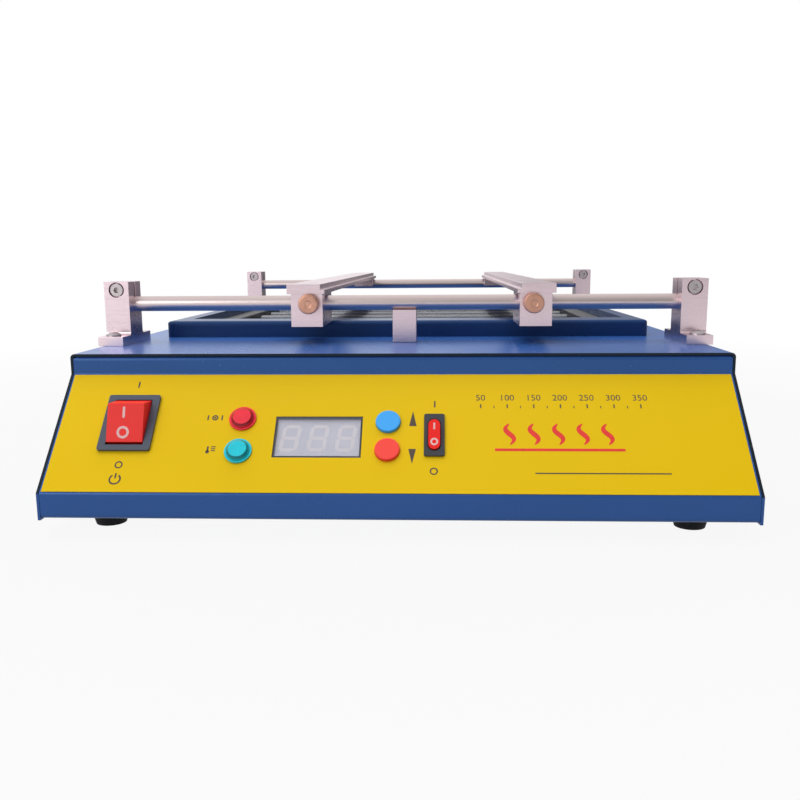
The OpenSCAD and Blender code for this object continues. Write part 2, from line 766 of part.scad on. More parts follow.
// Pan that hangs by its lip in the deck's opening
module heater_pan() color("silver") translate([0, heater_y, 0]) difference() {
    union() {
        translate([0, 0, deck_z]) linear_extrude(pan_t)
            square([pan_w + 2 * pan_lip, pan_d + 2 * pan_lip], center = true);
        translate([0, 0, pan_floor - pan_t]) linear_extrude(pan_depth + eps)
            square([pan_w, pan_d], center = true);
    }
    translate([0, 0, pan_floor]) linear_extrude(pan_depth + 1)
        square([window_w, window_d], center = true);
    translate([0, -pan_d / 2, probe_z]) rotate([90, 0, 0])
        cylinder(d = probe_d + hole_fit, h = 4 * pan_t, center = true);
}

// Ridged sheet that throws the heat upward, with a ridge between each two tubes
module reflector() color("gainsboro") {
    half = tube_count * tube_pitch / 2;
    translate([0, heater_y, 0]) along_x(2 * (rail_x - reflector_gap)) folded_sheet(concat(
        [[half, pan_floor + pan_t]],
        [for (i = [tube_count - 1 : -1 : 1]) each [
            [(i - tube_count / 2 + 0.25) * tube_pitch, pan_floor + pan_t],
            [(i - tube_count / 2) * tube_pitch, pan_floor + pan_t + ridge_h],
            [(i - tube_count / 2 - 0.25) * tube_pitch, pan_floor + pan_t]
        ]],
        [[-half, pan_floor + pan_t]]
    ), pan_t, pan_t / 2);
}

// Quartz tubes of the heater, running from side to side
module ir_tubes() color("lightgray", 0.5) at_tubes() rotate([0, 90, 0]) difference() {
    cylinder(d = tube_d, h = 2 * (cap_x + cap_socket - tube_fit), center = true);
    cylinder(d = tube_d - 2 * tube_wall, h = 3 * cap_x, center = true);
}

// Heating coils inside the tubes, drawn as plain rods with thin leads
module heater_coils() color("dimgray") at_tubes() rotate([0, 90, 0]) {
    cylinder(d = coil_d, h = 2 * (rail_x - 6), center = true);
    cylinder(d = lead_d, h = 2 * (cap_x + cap_l), center = true);
}

// Ceramic caps on both ends of each tube
module tube_end_caps() color("ivory") at_tubes() for (x = [-1, 1])
    rotate([0, x * 90, 0]) translate([0, 0, cap_x]) difference() {
        cylinder(r = cap_r, h = cap_l);
        translate([0, 0, -1]) cylinder(d = tube_d + 2 * tube_fit, h = cap_socket + 1);
        cylinder(d = lead_d + 0.1, h = 2 * cap_l);
    }

// Folded rail that carries the tubes' ends
module tube_rail(side) color("silver") translate([0, heater_y, 0])
    mirror([side < 0 ? 1 : 0, 0, 0]) difference() {
        along_y(window_d - 2 * rail_gap) folded_sheet([
            [window_w / 2 - rail_gap, rail_top_z],
            [rail_x, rail_top_z],
            [rail_x, pan_floor],
            [rail_x + rail_foot, pan_floor]
        ], pan_t, pan_t / 2);
        translate([0, -heater_y, 0]) at_tubes() rotate([0, 90, 0])
            cylinder(d = tube_d + 2 * tube_fit, h = window_w);
    }
module tube_rail_left() tube_rail(-1);
module tube_rail_right() tube_rail(1);

// Fibre board under the pan
module insulation_board() color("whitesmoke")
    translate([0, heater_y, pan_floor - pan_t - insulation_t])
        linear_extrude(insulation_t) square([window_w, window_d], center = true);

// Probe through the pan's front wall, with its collar outside
module thermocouple() color("silver")
    translate([0, heater_y - pan_d / 2, probe_z]) rotate([-90, 0, 0]) {
        translate([0, 0, -pan_t]) cylinder(d = probe_d, h = probe_l);
        translate([0, 0, probe_l - pan_t]) sphere(d = probe_d);
        translate([0, 0, -6]) cylinder(d = 3 * probe_d, h = 6, $fn = 6);
        translate([0, 0, -16]) cylinder(d = probe_d + 1, h = 11);
    }

// Split post that clamps one end of a rod
module shaft_post() difference() {
    along_x(post_w) difference() {
        union() {
            translate([-post_foot_l / 2, 0]) square([post_foot_l, post_foot_t]);
            translate([-post_upright_l / 2, 0]) square([post_upright_l, post_h]);
            for (y = [-1, 1]) difference() {
                translate([y * (post_upright_l + post_fillet_r) / 2,
                    post_foot_t + post_fillet_r / 2]) square(post_fillet_r, center = true);
                translate([y * (post_upright_l / 2 + post_fillet_r),
                    post_foot_t + post_fillet_r]) circle(post_fillet_r);
            }
        }
        translate([0, rod_height]) circle(bore_r);
        translate([-clamp_slit / 2, rod_height]) square([clamp_slit, post_h]);
    }
    translate([0, 0, clamp_screw_z]) rotate([90, 0, 0])
        cylinder(d = clamp_screw_d + hole_fit, h = 2 * post_upright_l, center = true);
    translate([0, -post_upright_l, clamp_screw_z])
        rod_back(clamp_head_d + 2 * clamp_head_gap, post_upright_l / 2 + clamp_head_h + hole_fit);
    for (y = [-1, 1]) translate([0, y * post_hole_pitch / 2, -1])
        cylinder(d = base_screw_d + hole_fit, h = post_foot_t + 2);
}
module post_front_left() color("gainsboro")
    translate([-post_x, front_rod_y, deck_z]) shaft_post();
module post_front_right() color("gainsboro")
    translate([post_x, front_rod_y, deck_z]) shaft_post();
module post_rear_left() color("gainsboro")
    translate([-post_x, rear_rod_y, deck_z]) shaft_post();
module post_rear_right() color("gainsboro")
    translate([post_x, rear_rod_y, deck_z]) shaft_post();

// Socket screws that close the posts on the rods
module post_clamp_screws() color("silver") at_posts()
    translate([0, hole_fit - post_upright_l / 2, clamp_screw_z]) difference() {
        union() {
            rod_back(clamp_head_d, clamp_head_h);
            rod_back(clamp_screw_d, post_upright_l - 2 * hole_fit);
        }
        translate([0, -1, 0]) rotate([-90, 0, 0])
            cylinder(d = clamp_screw_d * 0.85, h = 1 + clamp_head_h / 2, $fn = 6);
    }

// Screws that hold the posts' feet to the deck
module post_base_screws() color("silver") at_post_screws() {
    translate([0, 0, post_foot_t]) dome_screw(base_screw_d,
        post_foot_t + sheet_t + nut_k * base_screw_d, base_head_d, base_head_h);
    translate([0, 0, -sheet_t]) nut(base_screw_d);
}

// Polished rod between two posts
module shaft_rod(y) color("lightgray") translate([0, y, rod_z]) rotate([0, 90, 0])
    cylinder(r = rod_r, h = 2 * post_x + post_w, center = true);
module front_rod() shaft_rod(front_rod_y);
module rear_rod() shaft_rod(rear_rod_y);

// Block on the deck that carries the middle of the front rod
module rod_rest() color("gainsboro") translate([rest_x, front_rod_y, deck_z])
    along_x(rest_w) difference() {
        translate([-rest_l / 2, 0]) square([rest_l, rest_h]);
        translate([0, rod_height]) circle(bore_r);
    }

// Bar with a ledge for the board along its inner edge
module arm_bar() along_y_between(front_rod_y - bar_front, rear_rod_y + bar_rear) polygon([
        [-bar_outer, bar_z], [bar_inner + ledge_w, bar_z],
        [bar_inner + ledge_w, bar_z + ledge_t], [bar_inner, bar_z + ledge_t],
        [bar_inner, bar_z + bar_t], [-bar_outer, bar_z + bar_t]
    ]);
// A profile drawn in X and Z, stretched from one Y to another
module along_y_between(from, to) translate([0, (from + to) / 2, 0]) along_y(to - from) children();

// Puts a copy at each countersunk screw of an arm, on the bar's top
module at_arm_screws() for (y = [
        front_rod_y - (slider_front + rod_r) / 2,
        front_rod_y + (slider_back + rod_r) / 2,
        rear_rod_y - (saddle_front + rod_r) / 2
    ]) translate([0, y, bar_z + bar_t]) children();

// Countersunk screw that points down from its head's face
module flat_screw(d, head_d, l) {
    translate([0, 0, -(head_d - d) / 2]) cylinder(d1 = d, d2 = head_d, h = (head_d - d) / 2);
    translate([0, 0, -l]) cylinder(d = d, h = l - (head_d - d) / 2 + eps);
}

// Block that slides on the front rod and carries the bar's front end
module arm_slider() difference() {
    translate([-slider_w / 2, front_rod_y - slider_front, bar_z - slider_h])
        cube([slider_w, slider_front + slider_back, slider_h]);
    translate([0, front_rod_y, rod_z]) rotate([0, 90, 0])
        cylinder(r = bore_r, h = 2 * slider_w, center = true);
    translate([knob_x, front_rod_y - 2 * slider_front, rod_z + knob_rise])
        rod_back(knob_shank_d + 2 * knob_fit, 2 * slider_front);
    at_arm_screws() translate([0, 0, -arm_screw_l - tip_gap])
        cylinder(d = arm_screw_d + 0.1, h = arm_screw_l + tip_gap);
}

// Open-bottomed saddle that rides on the rear rod
module arm_saddle() difference() {
    translate([-slider_w / 2, rear_rod_y - saddle_front, bar_z - saddle_h])
        cube([slider_w, saddle_front + saddle_rear, saddle_h]);
    translate([0, rear_rod_y, rod_z]) rotate([0, 90, 0])
        cylinder(r = bore_r, h = 2 * slider_w, center = true);
    translate([-slider_w, rear_rod_y - bore_r, rod_z - 2 * rod_d])
        cube([2 * slider_w, 2 * bore_r, 2 * rod_d]);
    at_arm_screws() translate([0, 0, -arm_screw_l - tip_gap])
        cylinder(d = arm_screw_d + 0.1, h = arm_screw_l + tip_gap);
}

// Bar with its countersunk holes
module drilled_bar() difference() {
    arm_bar();
    at_arm_screws() {
        translate([0, 0, -(arm_head_d - arm_screw_d) / 2]) cylinder(d1 = arm_screw_d + 0.1,
            d2 = arm_head_d + 0.1, h = (arm_head_d - arm_screw_d) / 2 + eps);
        translate([0, 0, -2 * bar_t]) cylinder(d = arm_screw_d + 0.1, h = 2 * bar_t);
    }
}

// Places a piece of an arm: the right arm is the mirror image of the left one
module left_arm() translate([left_arm_x, 0, 0]) children();
module right_arm() translate([right_arm_x, 0, 0]) mirror([1, 0, 0]) children();

module left_arm_bar() color("gainsboro") left_arm() drilled_bar();
module left_arm_slider() color("gainsboro") left_arm() arm_slider();
module left_arm_saddle() color("gainsboro") left_arm() arm_saddle();
module left_arm_screws() color("silver") left_arm()
    at_arm_screws() flat_screw(arm_screw_d, arm_head_d, arm_screw_l);
module right_arm_bar() color("gainsboro") right_arm() drilled_bar();
module right_arm_slider() color("gainsboro") right_arm() arm_slider();
module right_arm_saddle() color("gainsboro") right_arm() arm_saddle();
module right_arm_screws() color("silver") right_arm()
    at_arm_screws() flat_screw(arm_screw_d, arm_head_d, arm_screw_l);

// Flat round thumbscrew whose tip holds its slider on the rod
module thumbscrew() color("peru")
    translate([knob_x, front_rod_y - slider_front - knob_gap - knob_t, rod_z + knob_rise])
    rotate([-90, 0, 0]) {
        rotate_extrude() {
            square([knob_d / 2 - knob_edge, knob_t]);
            translate([0, knob_edge]) square([knob_d / 2, knob_t - 2 * knob_edge]);
            for (z = [knob_edge, knob_t - knob_edge]) intersection() {
                translate([knob_d / 2 - knob_edge, z]) circle(knob_edge);
                square([knob_d, knob_t]);
            }
        }
        cylinder(d = knob_shank_d,
            h = knob_t + knob_gap + slider_front - rod_r - tip_gap);
    }
module left_thumbscrew() left_arm() thumbscrew();
module right_thumbscrew() right_arm() thumbscrew();

// Reach of a rocker's ends in its whole swing, and the depth of its lower corners
function rocker_reach(face, low_half, rise, low, tilt) =
    max(norm([low_half, low]), face / 2 * cos(tilt) + rise * sin(tilt));
function rocker_depth(low_half, low, tilt) = low_half * sin(tilt) + low * cos(tilt);

// Bezel and body of a rocker switch, with a pocket whose outline is given
module switch_body(bezel, body, rocker_w, pivot, depth) difference() {
    union() {
        linear_extrude(bezel[2]) round_rect(bezel[0], bezel[1], 1);
        translate([0, 0, -body[2]]) linear_extrude(body[2] + eps)
            square([body[0], body[1]], center = true);
        for (x = [-1, 1], y = [-1, 0, 1])
            translate([x * body[0] / 4, y * body[1] / 3, -body[2] - 3])
                cube([0.8, body[1] / 6, 6 + eps], center = true);
    }
    translate([0, 0, -pivot - depth - 2 * rocker_gap]) linear_extrude(body[2]) children();
    translate([0, 0, -pivot]) rotate([0, 90, 0]) cylinder(r = trunnion_r + trunnion_fit,
        h = rocker_w + 2 * trunnion_l + 0.2, center = true);
}

// Tips a rocker so that its lower end is pressed, and adds its trunnions
module switch_rocker(rocker_w, pivot, tilt) translate([0, 0, -pivot]) rotate([tilt, 0, 0]) {
    children();
    rotate([0, 90, 0]) cylinder(r = trunnion_r, h = rocker_w + 2 * trunnion_l, center = true);
}

module power_switch_body() color("darkslategray") on_panel(power_x, power_s)
    translate([0, 0, label_t]) switch_body([power_bezel_w, power_bezel_l, power_bezel_h],
        [power_body_w, power_body_l, power_body_d], power_rocker_w, power_pivot,
        rocker_depth(power_half, power_low, power_tilt))
            square([power_rocker_w, 2 * power_reach] + 2 * rocker_gap * [1, 1], center = true);

// Broad rocker with a flat face and drafted ends
module power_rocker() color("red") on_panel(power_x, power_s) translate([0, 0, label_t])
    switch_rocker(power_rocker_w, power_pivot, power_tilt) along_x(power_rocker_w) polygon([
        [-power_half, -power_low], [power_half, -power_low],
        [power_face_l / 2, power_rise], [-power_face_l / 2, power_rise]
    ]);

module heater_switch_body() color("darkslategray") on_panel(heater_x, heater_s)
    translate([0, 0, label_t]) switch_body([heater_bezel_w, heater_bezel_l, heater_bezel_h],
        [heater_body_w, heater_body_l, heater_body_d], heater_rocker_w, heater_pivot,
        rocker_depth(heater_half, heater_low, heater_tilt))
            rotate(90) slot(2 * heater_reach + 2 * rocker_gap, heater_rocker_w + 2 * rocker_gap);

// Narrow rocker with round ends
module heater_rocker() color("red") on_panel(heater_x, heater_s) translate([0, 0, label_t])
    switch_rocker(heater_rocker_w, heater_pivot, heater_tilt) translate([0, 0, -heater_low])
        linear_extrude(heater_low + heater_rise) rotate(90) slot(heater_face_l, heater_rocker_w);

// Clear window that fills the display's cut-out
module display_window() color("lavender", 0.6) on_panel(display_x, display_s)
    translate([0, 0, label_t - window_t]) linear_extrude(window_t)
        square([display_w - 2 * panel_fit, display_l - 2 * panel_fit], center = true);

// Three-digit display behind the window, on two strips of pins
module display_module() color("slategray") on_panel(display_x, display_s) {
    back = label_t - window_t - display_t;
    translate([0, 0, back]) linear_extrude(display_t)
        square([display_w - 2, display_l - 2], center = true);
    for (y = [-1, 1]) translate([0, y * (display_l / 2 - 3.5), -control_depth])
        linear_extrude(control_depth + back + eps)
            square([display_w - 14, 2.4], center = true);
}

// Panel lamp: a stepped lens, a shank and a nut behind the panel
module panel_lamp(s) on_panel(lamp_x, s) {
    bevel_z = lamp_h - (lamp_lens_d - lamp_top_d) / 2;
    translate([0, 0, label_t]) {
        cylinder(d = lamp_d, h = lamp_rim_h);
        cylinder(d = lamp_lens_d, h = bevel_z + eps);
        translate([0, 0, bevel_z])
            cylinder(d1 = lamp_lens_d, d2 = lamp_top_d, h = lamp_h - bevel_z);
    }
    translate([0, 0, 0.2 - control_depth]) cylinder(r = lamp_r, h = control_depth + label_t);
    translate([0, 0, -sheet_t - lamp_nut_h])
        cylinder(d = lamp_shank_d + 4, h = lamp_nut_h - seat_gap, $fn = 6);
}
module set_lamp() color("salmon") panel_lamp(set_s);
module current_lamp() color("turquoise") panel_lamp(current_s);

// Push button: a cap with a round edge, a collar behind the panel and a stem
module push_button(s) on_panel(button_x, s) {
    top = label_t + button_h;
    tip = tact_h - control_depth - 0.4;
    rotate_extrude() {
        translate([0, collar_z - collar_t]) square([button_r - button_edge,
            top - collar_z + collar_t]);
        translate([0, collar_z - collar_t]) square([button_r,
            top - collar_z + collar_t - button_edge]);
        intersection() {
            translate([button_r - button_edge, top - button_edge]) circle(button_edge);
            translate([0, -control_depth]) square([button_d, 2 * control_depth]);
        }
        translate([0, collar_z - collar_t]) square([button_r + button_collar, collar_t]);
        translate([0, tip]) square([stem_d / 2, collar_z - tip]);
    }
}
module up_button() color("dodgerblue") push_button(up_s);
module down_button() color("tomato") push_button(down_s);

// Push switches on the control board, each with a well for its button's stem
module button_switches() color("darkslategray") for (s = [up_s, down_s])
    on_panel(button_x, s) translate([0, 0, -control_depth]) difference() {
        translate([-tact_w / 2, -tact_w / 2, 0]) cube([tact_w, tact_w, tact_h]);
        translate([0, 0, tact_h - 0.5 - button_travel - 0.9])
            cylinder(d = stem_d + 0.2, h = tact_h);
    }

// Board that carries the display, the lamps and the push switches
module control_board() color("seagreen") on_panel(0, 0)
    translate([control_left, -control_bottom, -control_depth - board_t]) difference() {
        cube([control_right - control_left, control_bottom - control_top, board_t]);
        for (x = [standoff_in, control_right - control_left - standoff_in],
            y = [standoff_in, control_bottom - control_top - standoff_in])
            translate([x, y, -1]) cylinder(d = standoff_d * 0.6, h = board_t + 2);
    }

// Standoffs of the control board and of the power board
module board_standoffs() color("silver") {
    on_panel(0, 0) for (x = [control_left + standoff_in, control_right - standoff_in],
        s = [control_top + standoff_in, control_bottom - standoff_in])
        translate([x, -s, -control_depth])
            cylinder(d = standoff_d, h = control_depth - sheet_t - seat_gap, $fn = 6);
    translate([power_board_x, power_board_y, floor_z]) for (x = [-1, 1], y = [-1, 1])
        translate([x * (power_board_w / 2 - standoff_in), y * (power_board_l / 2 - standoff_in), 0])
            cylinder(d = standoff_d, h = power_standoff_h, $fn = 6);
}

// Board with the mains electronics
module power_board() color("seagreen") translate([power_board_x, power_board_y, power_board_z])
    linear_extrude(board_t) difference() {
        square([power_board_w, power_board_l], center = true);
        for (x = [-1, 1], y = [-1, 1]) translate([x * (power_board_w / 2 - standoff_in),
            y * (power_board_l / 2 - standoff_in)]) circle(d = standoff_d * 0.6);
    }

// Small mains transformer: a laminated core with its winding and a strap foot
module transformer() color("dimgray") translate([transformer_x, transformer_y, floor_z]) {
    translate([-core_w / 2, -core_l / 2, 0]) cube([core_w, core_l, core_h]);
    translate([0, 0, core_h * 0.2]) linear_extrude(core_h * 0.6)
        round_rect(core_w * 0.62, core_l + 16, 4);
    translate([-core_w / 2 - 9, -core_l / 2 + 3, 0]) cube([core_w + 18, core_l - 6, sheet_t]);
}

// Finned heatsink that stands on the power board
module heatsink() color("gainsboro")
    translate([power_board_x, power_board_y + power_board_l / 2 - fin_l - 6, power_top])
        linear_extrude(heatsink_h) {
            translate([-heatsink_l / 2, 0]) square([heatsink_l, 3]);
            for (i = [0 : 6]) translate([-heatsink_l / 2 + i * (heatsink_l - 2) / 6, 0])
                square([2, fin_l]);
        }

// Triac on the heatsink's face
module triac() color("black")
    translate([power_board_x, power_board_y + power_board_l / 2 - fin_l - 6, power_top]) {
        translate([-5, -4.5, 5]) cube([10, 4.5, 15]);
        for (x = [-2.5, 0, 2.5]) translate([x - 0.5, -3, 0]) cube([1, 0.6, 5 + eps]);
    }

// Glass fuse in its two clips on the power board
module line_fuse() color("silver")
    translate([power_board_x - power_board_w / 2 + 25, power_board_y - 8, power_top]) {
        translate([0, 0, 6]) rotate([0, 90, 0]) cylinder(d = 5, h = 20, center = true);
        for (x = [-1, 1]) translate([x * 8 - 2.5, -3.2, 0]) cube([5, 6.4, 6]);
    }

// Ceramic terminal block behind the heater
module terminal_block() color("ivory")
    translate([inlet_x + 50, rear_y - 30, floor_z]) difference() {
        translate([-terminal_l / 2, -9, 0]) cube([terminal_l, 18, 16]);
        for (x = [-1, 0, 1]) translate([x * terminal_l / 3, 0, 7]) {
            cylinder(d = 5, h = 20);
            rotate([90, 0, 0]) cylinder(d = 4, h = 30, center = true);
        }
    }

// Outline of the mains socket, with its two cut lower corners
module socket_outline(w, h) polygon([
        [-w / 2, h / 2], [-w / 2, 5 - h / 2], [5 - w / 2, -h / 2], [w / 2 - 5, -h / 2],
        [w / 2, 5 - h / 2], [w / 2, h / 2]
    ]);

// Snap-in mains inlet in the rear wall
module inlet_socket() color("black") translate([inlet_x, rear_y, inlet_mid]) difference() {
    union() {
        along_y_between(0, inlet_t) round_rect(inlet_w, inlet_h, 3);
        along_y_between(-inlet_body_d, eps) square([inlet_body_w, inlet_body_h], center = true);
    }
    along_y_between(inlet_t - socket_d, inlet_t + 1) socket_outline(socket_w, socket_h);
    for (p = pin_places) translate([p[0], 0, p[1]]) along_y_between(-2 * inlet_body_d, 0)
        square([pin_w, pin_h], center = true);
}

// Three contact blades of the inlet, with tabs behind it
module inlet_pins() color("gold") translate([inlet_x, rear_y, inlet_mid])
    for (p = pin_places) translate([p[0], 0, p[1]])
        along_y_between(-inlet_body_d - 8, inlet_t - pin_recess)
            square([pin_w, pin_h], center = true);

// Tapered rubber foot with a recess for its screw
module rubber_foot(x, y) color("black") translate([x, y, 0]) difference() {
    cylinder(d1 = foot_bottom_d, d2 = foot_top_d, h = foot_h);
    translate([0, 0, -1]) cylinder(d = foot_head_d + 1, h = foot_h / 2 + 1);
    cylinder(d = foot_screw_d + hole_fit, h = 2 * foot_h);
}
module foot_front_left() rubber_foot(-foot_x, front_y + foot_inset_y);
module foot_front_right() rubber_foot(foot_x, front_y + foot_inset_y);
module foot_rear_left() rubber_foot(-foot_x, rear_y - foot_inset_y);
module foot_rear_right() rubber_foot(foot_x, rear_y - foot_inset_y);

// Screws that hold the feet, with nuts on the chassis floor
module foot_screws() color("silver") at_feet() {
    translate([0, 0, foot_h / 2 - foot_head_h]) cylinder(d = foot_head_d, h = foot_head_h);
    translate([0, 0, foot_h / 2 - eps])
        cylinder(d = foot_screw_d, h = floor_z - foot_h / 2 + nut_k * foot_screw_d + 1);
    translate([0, 0, floor_z + nut_k * foot_screw_d]) nut(foot_screw_d);
}

// Screws that hold the cover's walls to the base flanges
module cover_screws() color("silver") at_cover_screws()
    dome_screw(cover_screw_d, 2 * sheet_t + cover_gap + 5, 2 * cover_screw_d, 1.8);

chassis();
cover();
front_label();
heater_frame();
frame_screws();
heater_pan();
reflector();
ir_tubes();
heater_coils();
tube_end_caps();
tube_rail_left();
tube_rail_right();
insulation_board();
thermocouple();
post_front_left();
post_front_right();
post_rear_left();
post_rear_right();
post_clamp_screws();
post_base_screws();
front_rod();
rear_rod();
rod_rest();
left_arm_bar();
left_arm_slider();
left_arm_saddle();
left_arm_screws();
right_arm_bar();
right_arm_slider();
right_arm_saddle();
right_arm_screws();
left_thumbscrew();
right_thumbscrew();
power_switch_body();
power_rocker();
heater_switch_body();
heater_rocker();
display_module();
display_window();
set_lamp();
current_lamp();
up_button();
down_button();
control_board();
button_switches();
board_standoffs();
power_board();
transformer();
heatsink();
triac();
line_fuse();
terminal_block();
inlet_socket();
inlet_pins();
foot_front_left();
foot_front_right();
foot_rear_left();
foot_rear_right();
foot_screws();
cover_screws();
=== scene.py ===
"""Looks of a bench preheater for circuit boards.

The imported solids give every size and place. This file gives them their finishes, breaks the edges
of the clamp's cut parts and of the rockers, and adds what is too fine for the solids: the panel's
printed signs, the digits of the display, the knurled thumbscrews and the wound heating coils.
Lengths are in metres.
"""

import json  # noqa: E402
import math  # noqa: E402
from functools import partial  # noqa: E402

import bmesh  # noqa: E402
import bpy  # noqa: E402
import numpy as np  # noqa: E402
from bpy.props import FloatProperty, FloatVectorProperty, IntProperty, PointerProperty  # noqa: E402
from mathutils import Matrix, Vector  # noqa: E402


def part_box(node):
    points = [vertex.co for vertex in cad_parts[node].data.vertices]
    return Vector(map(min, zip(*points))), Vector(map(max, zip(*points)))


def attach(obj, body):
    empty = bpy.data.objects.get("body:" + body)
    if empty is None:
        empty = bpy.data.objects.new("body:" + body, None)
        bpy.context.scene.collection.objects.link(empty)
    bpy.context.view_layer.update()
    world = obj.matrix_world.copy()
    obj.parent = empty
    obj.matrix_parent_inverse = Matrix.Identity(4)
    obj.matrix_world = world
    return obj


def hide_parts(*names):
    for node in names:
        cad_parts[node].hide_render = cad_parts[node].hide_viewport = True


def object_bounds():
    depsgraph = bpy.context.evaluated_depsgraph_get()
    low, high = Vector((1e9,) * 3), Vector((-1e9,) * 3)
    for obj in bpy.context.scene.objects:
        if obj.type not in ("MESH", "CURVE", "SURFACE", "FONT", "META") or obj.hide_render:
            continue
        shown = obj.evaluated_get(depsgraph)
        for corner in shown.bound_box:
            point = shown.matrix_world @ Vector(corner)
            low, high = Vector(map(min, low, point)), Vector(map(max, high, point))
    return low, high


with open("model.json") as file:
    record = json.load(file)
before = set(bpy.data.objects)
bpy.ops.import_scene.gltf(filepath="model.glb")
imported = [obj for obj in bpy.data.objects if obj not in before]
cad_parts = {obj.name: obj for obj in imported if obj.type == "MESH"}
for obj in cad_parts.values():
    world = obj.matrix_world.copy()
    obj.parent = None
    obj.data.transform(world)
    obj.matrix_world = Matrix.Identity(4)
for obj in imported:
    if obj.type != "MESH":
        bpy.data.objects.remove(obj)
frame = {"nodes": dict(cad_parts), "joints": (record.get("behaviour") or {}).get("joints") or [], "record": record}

bl_info = {
    "name": "Circuit board preheater",
    "version": (1, 0, 0),
    "blender": (4, 5, 0),
    "location": "View3D > Sidebar > Preheater",
    "description": "Finishes and fine details of a bench preheater for circuit boards",
    "category": "Object",
}

CAD_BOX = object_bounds()
NODES = frame["nodes"]
RECORD_SLOTS = {row["slot"] for row in frame["record"]["materials"]}
FINISHES = {}
SENSOR_MM = 36.0
MM = 0.001
X_AXIS = np.array((1.0, 0.0, 0.0))

# From the panel's upper bend to the label's upper edge, and from the sheet to the label's face
LABEL_MARGIN = 0.8 * MM
LABEL_LIFT = 0.4 * MM
# Depth to which a cut edge of the cover's sheet is painted dark, as painted shade
CUT_DEPTH = 0.1 * MM
# Cosine of the angle within which directions are one, and the depth within which points are level
SAME_WAY = 0.9995
LEVEL = 0.1 * MM
# Distance within which corners are one, the fold under which faces are one, and a sharp edge's fold
MERGE = 1e-6
FLAT_FOLD = math.radians(0.5)
SHARP_FOLD = math.radians(50)


# Settings


def colour(name, description, value):
    """A colour that a user may change."""
    return FloatVectorProperty(
        name=name, description=description, subtype="COLOR", size=3, min=0, max=1, default=value
    )


def number(name, description, value, **kind):
    """A number that a user may change."""
    return FloatProperty(name=name, description=description, default=value, **kind)


length = partial(number, unit="LENGTH", precision=5)
rotation = partial(number, subtype="ANGLE")
wattage = partial(number, subtype="POWER")


class PreheaterColours(bpy.types.PropertyGroup):
    """Colours of the finishes"""

    paint: colour("Paint", "Gloss paint of the housing", (0.030, 0.105, 0.36))
    # Painted shade: a darker copy of the housing's paint, standing for the shade on the heater frame
    frame_paint: colour("Frame paint", "Gloss paint of the heater frame", (0.005, 0.032, 0.13))
    film: colour("Film", "Printed film on the sloped panel", (0.79, 0.52, 0.003))
    ink: colour("Dark ink", "Ink of the small signs", (0.075, 0.052, 0.035))
    red_ink: colour("Red ink", "Ink of the heat sign", (0.72, 0.028, 0.016))
    pale_ink: colour("Pale ink", "Ink of the rockers' signs", (0.90, 0.52, 0.52))
    # The pink cast of the steel and the aluminium is painted reflection of a pinkish room
    steel: colour("Steel", "Polished rods", (0.70, 0.59, 0.58))
    aluminium: colour("Aluminium", "Posts, sliders and bars", (0.82, 0.66, 0.71))
    copper: colour("Copper alloy", "Thumbscrews", (0.68, 0.36, 0.26))
    red_plastic: colour("Red plastic", "Rockers", (1.0, 0.018, 0.013))
    blue_cap: colour("Blue cap", "Up button", (0.030, 0.38, 0.93))
    red_cap: colour("Red cap", "Down button", (0.97, 0.045, 0.028))
    red_lens: colour("Red lens", "Set lamp", (0.84, 0.025, 0.050))
    cyan_lens: colour("Cyan lens", "Current lamp", (0.008, 0.56, 0.68))
    display: colour("Display", "Unlit face of the display", (0.60, 0.61, 0.69))
    segment: colour("Segment", "Unlit segments of the display", (0.67, 0.64, 0.67))


class PreheaterSizes(bpy.types.PropertyGroup):
    """Sizes of the fine details"""

    ink_height: length("Ink height", "Height of printed ink over its surface", 0.04 * MM)
    stroke: length("Stroke", "Width of a printed line", 0.62 * MM)
    sign: length("Sign", "Height of a small sign", 3.6 * MM)
    edge: length("Broken edge", "Width of the broken edges of cut metal", 0.35 * MM)
    rocker_edge: length("Rocker edge", "Width of the rounded edges of the rockers", 0.5 * MM)
    digit: length("Digit", "Height of a display digit", 12.2 * MM)
    digit_pitch: length("Digit pitch", "Distance between the display's digits", 12.6 * MM)
    digit_lean: rotation("Digit lean", "Lean of the display's digits", math.radians(7))
    knurls: IntProperty(name="Knurls", description="Ridges round a thumbscrew", default=40)
    knurl_depth: length("Knurl depth", "Depth of the ridges round a thumbscrew", 0.22 * MM)
    coil_pitch: length("Coil pitch", "Distance between the turns of a heating coil", 2.4 * MM)
    coil_wire: length("Coil wire", "Diameter of the coils' wire", 0.8 * MM)


class PreheaterStage(bpy.types.PropertyGroup):
    """Camera and light"""

    camera: FloatVectorProperty(
        name="Camera", description="Place of the camera", subtype="TRANSLATION", unit="LENGTH",
        default=(0.01923, -0.58662, 0.11919),
    )
    yaw: rotation("Yaw", "Turn to the left", 0.0462)
    pitch: rotation("Pitch", "Tilt down", 0.1666)
    roll: rotation("Roll", "Turn about the view", -0.0073)
    lens: number("Lens", "Focal length in millimetres", 37.8)
    key: wattage("Key", "Power of the front lamp", 8)
    top: wattage("Top", "Power of the lamp above", 28)
    sky: number("Sky", "Strength of the light of the room", 0.62)
    bright_side: FloatVectorProperty(
        name="Bright side",
        description="How much brighter the room is to the right, behind and above",
        default=(-0.40, 0.30, 0.25),
    )


# Shader nodes


class Value:
    """A shader socket used as a number: each operator adds one Math node."""

    def __init__(self, shader, socket):
        self.shader, self.socket = shader, socket

    def __add__(self, other):
        return self.shader.math("ADD", self, other)

    def __radd__(self, other):
        return self.shader.math("ADD", other, self)

    def __sub__(self, other):
        return self.shader.math("SUBTRACT", self, other)

    def __mul__(self, other):
        return self.shader.math("MULTIPLY", self, other)

    def __rmul__(self, other):
        return self.shader.math("MULTIPLY", other, self)


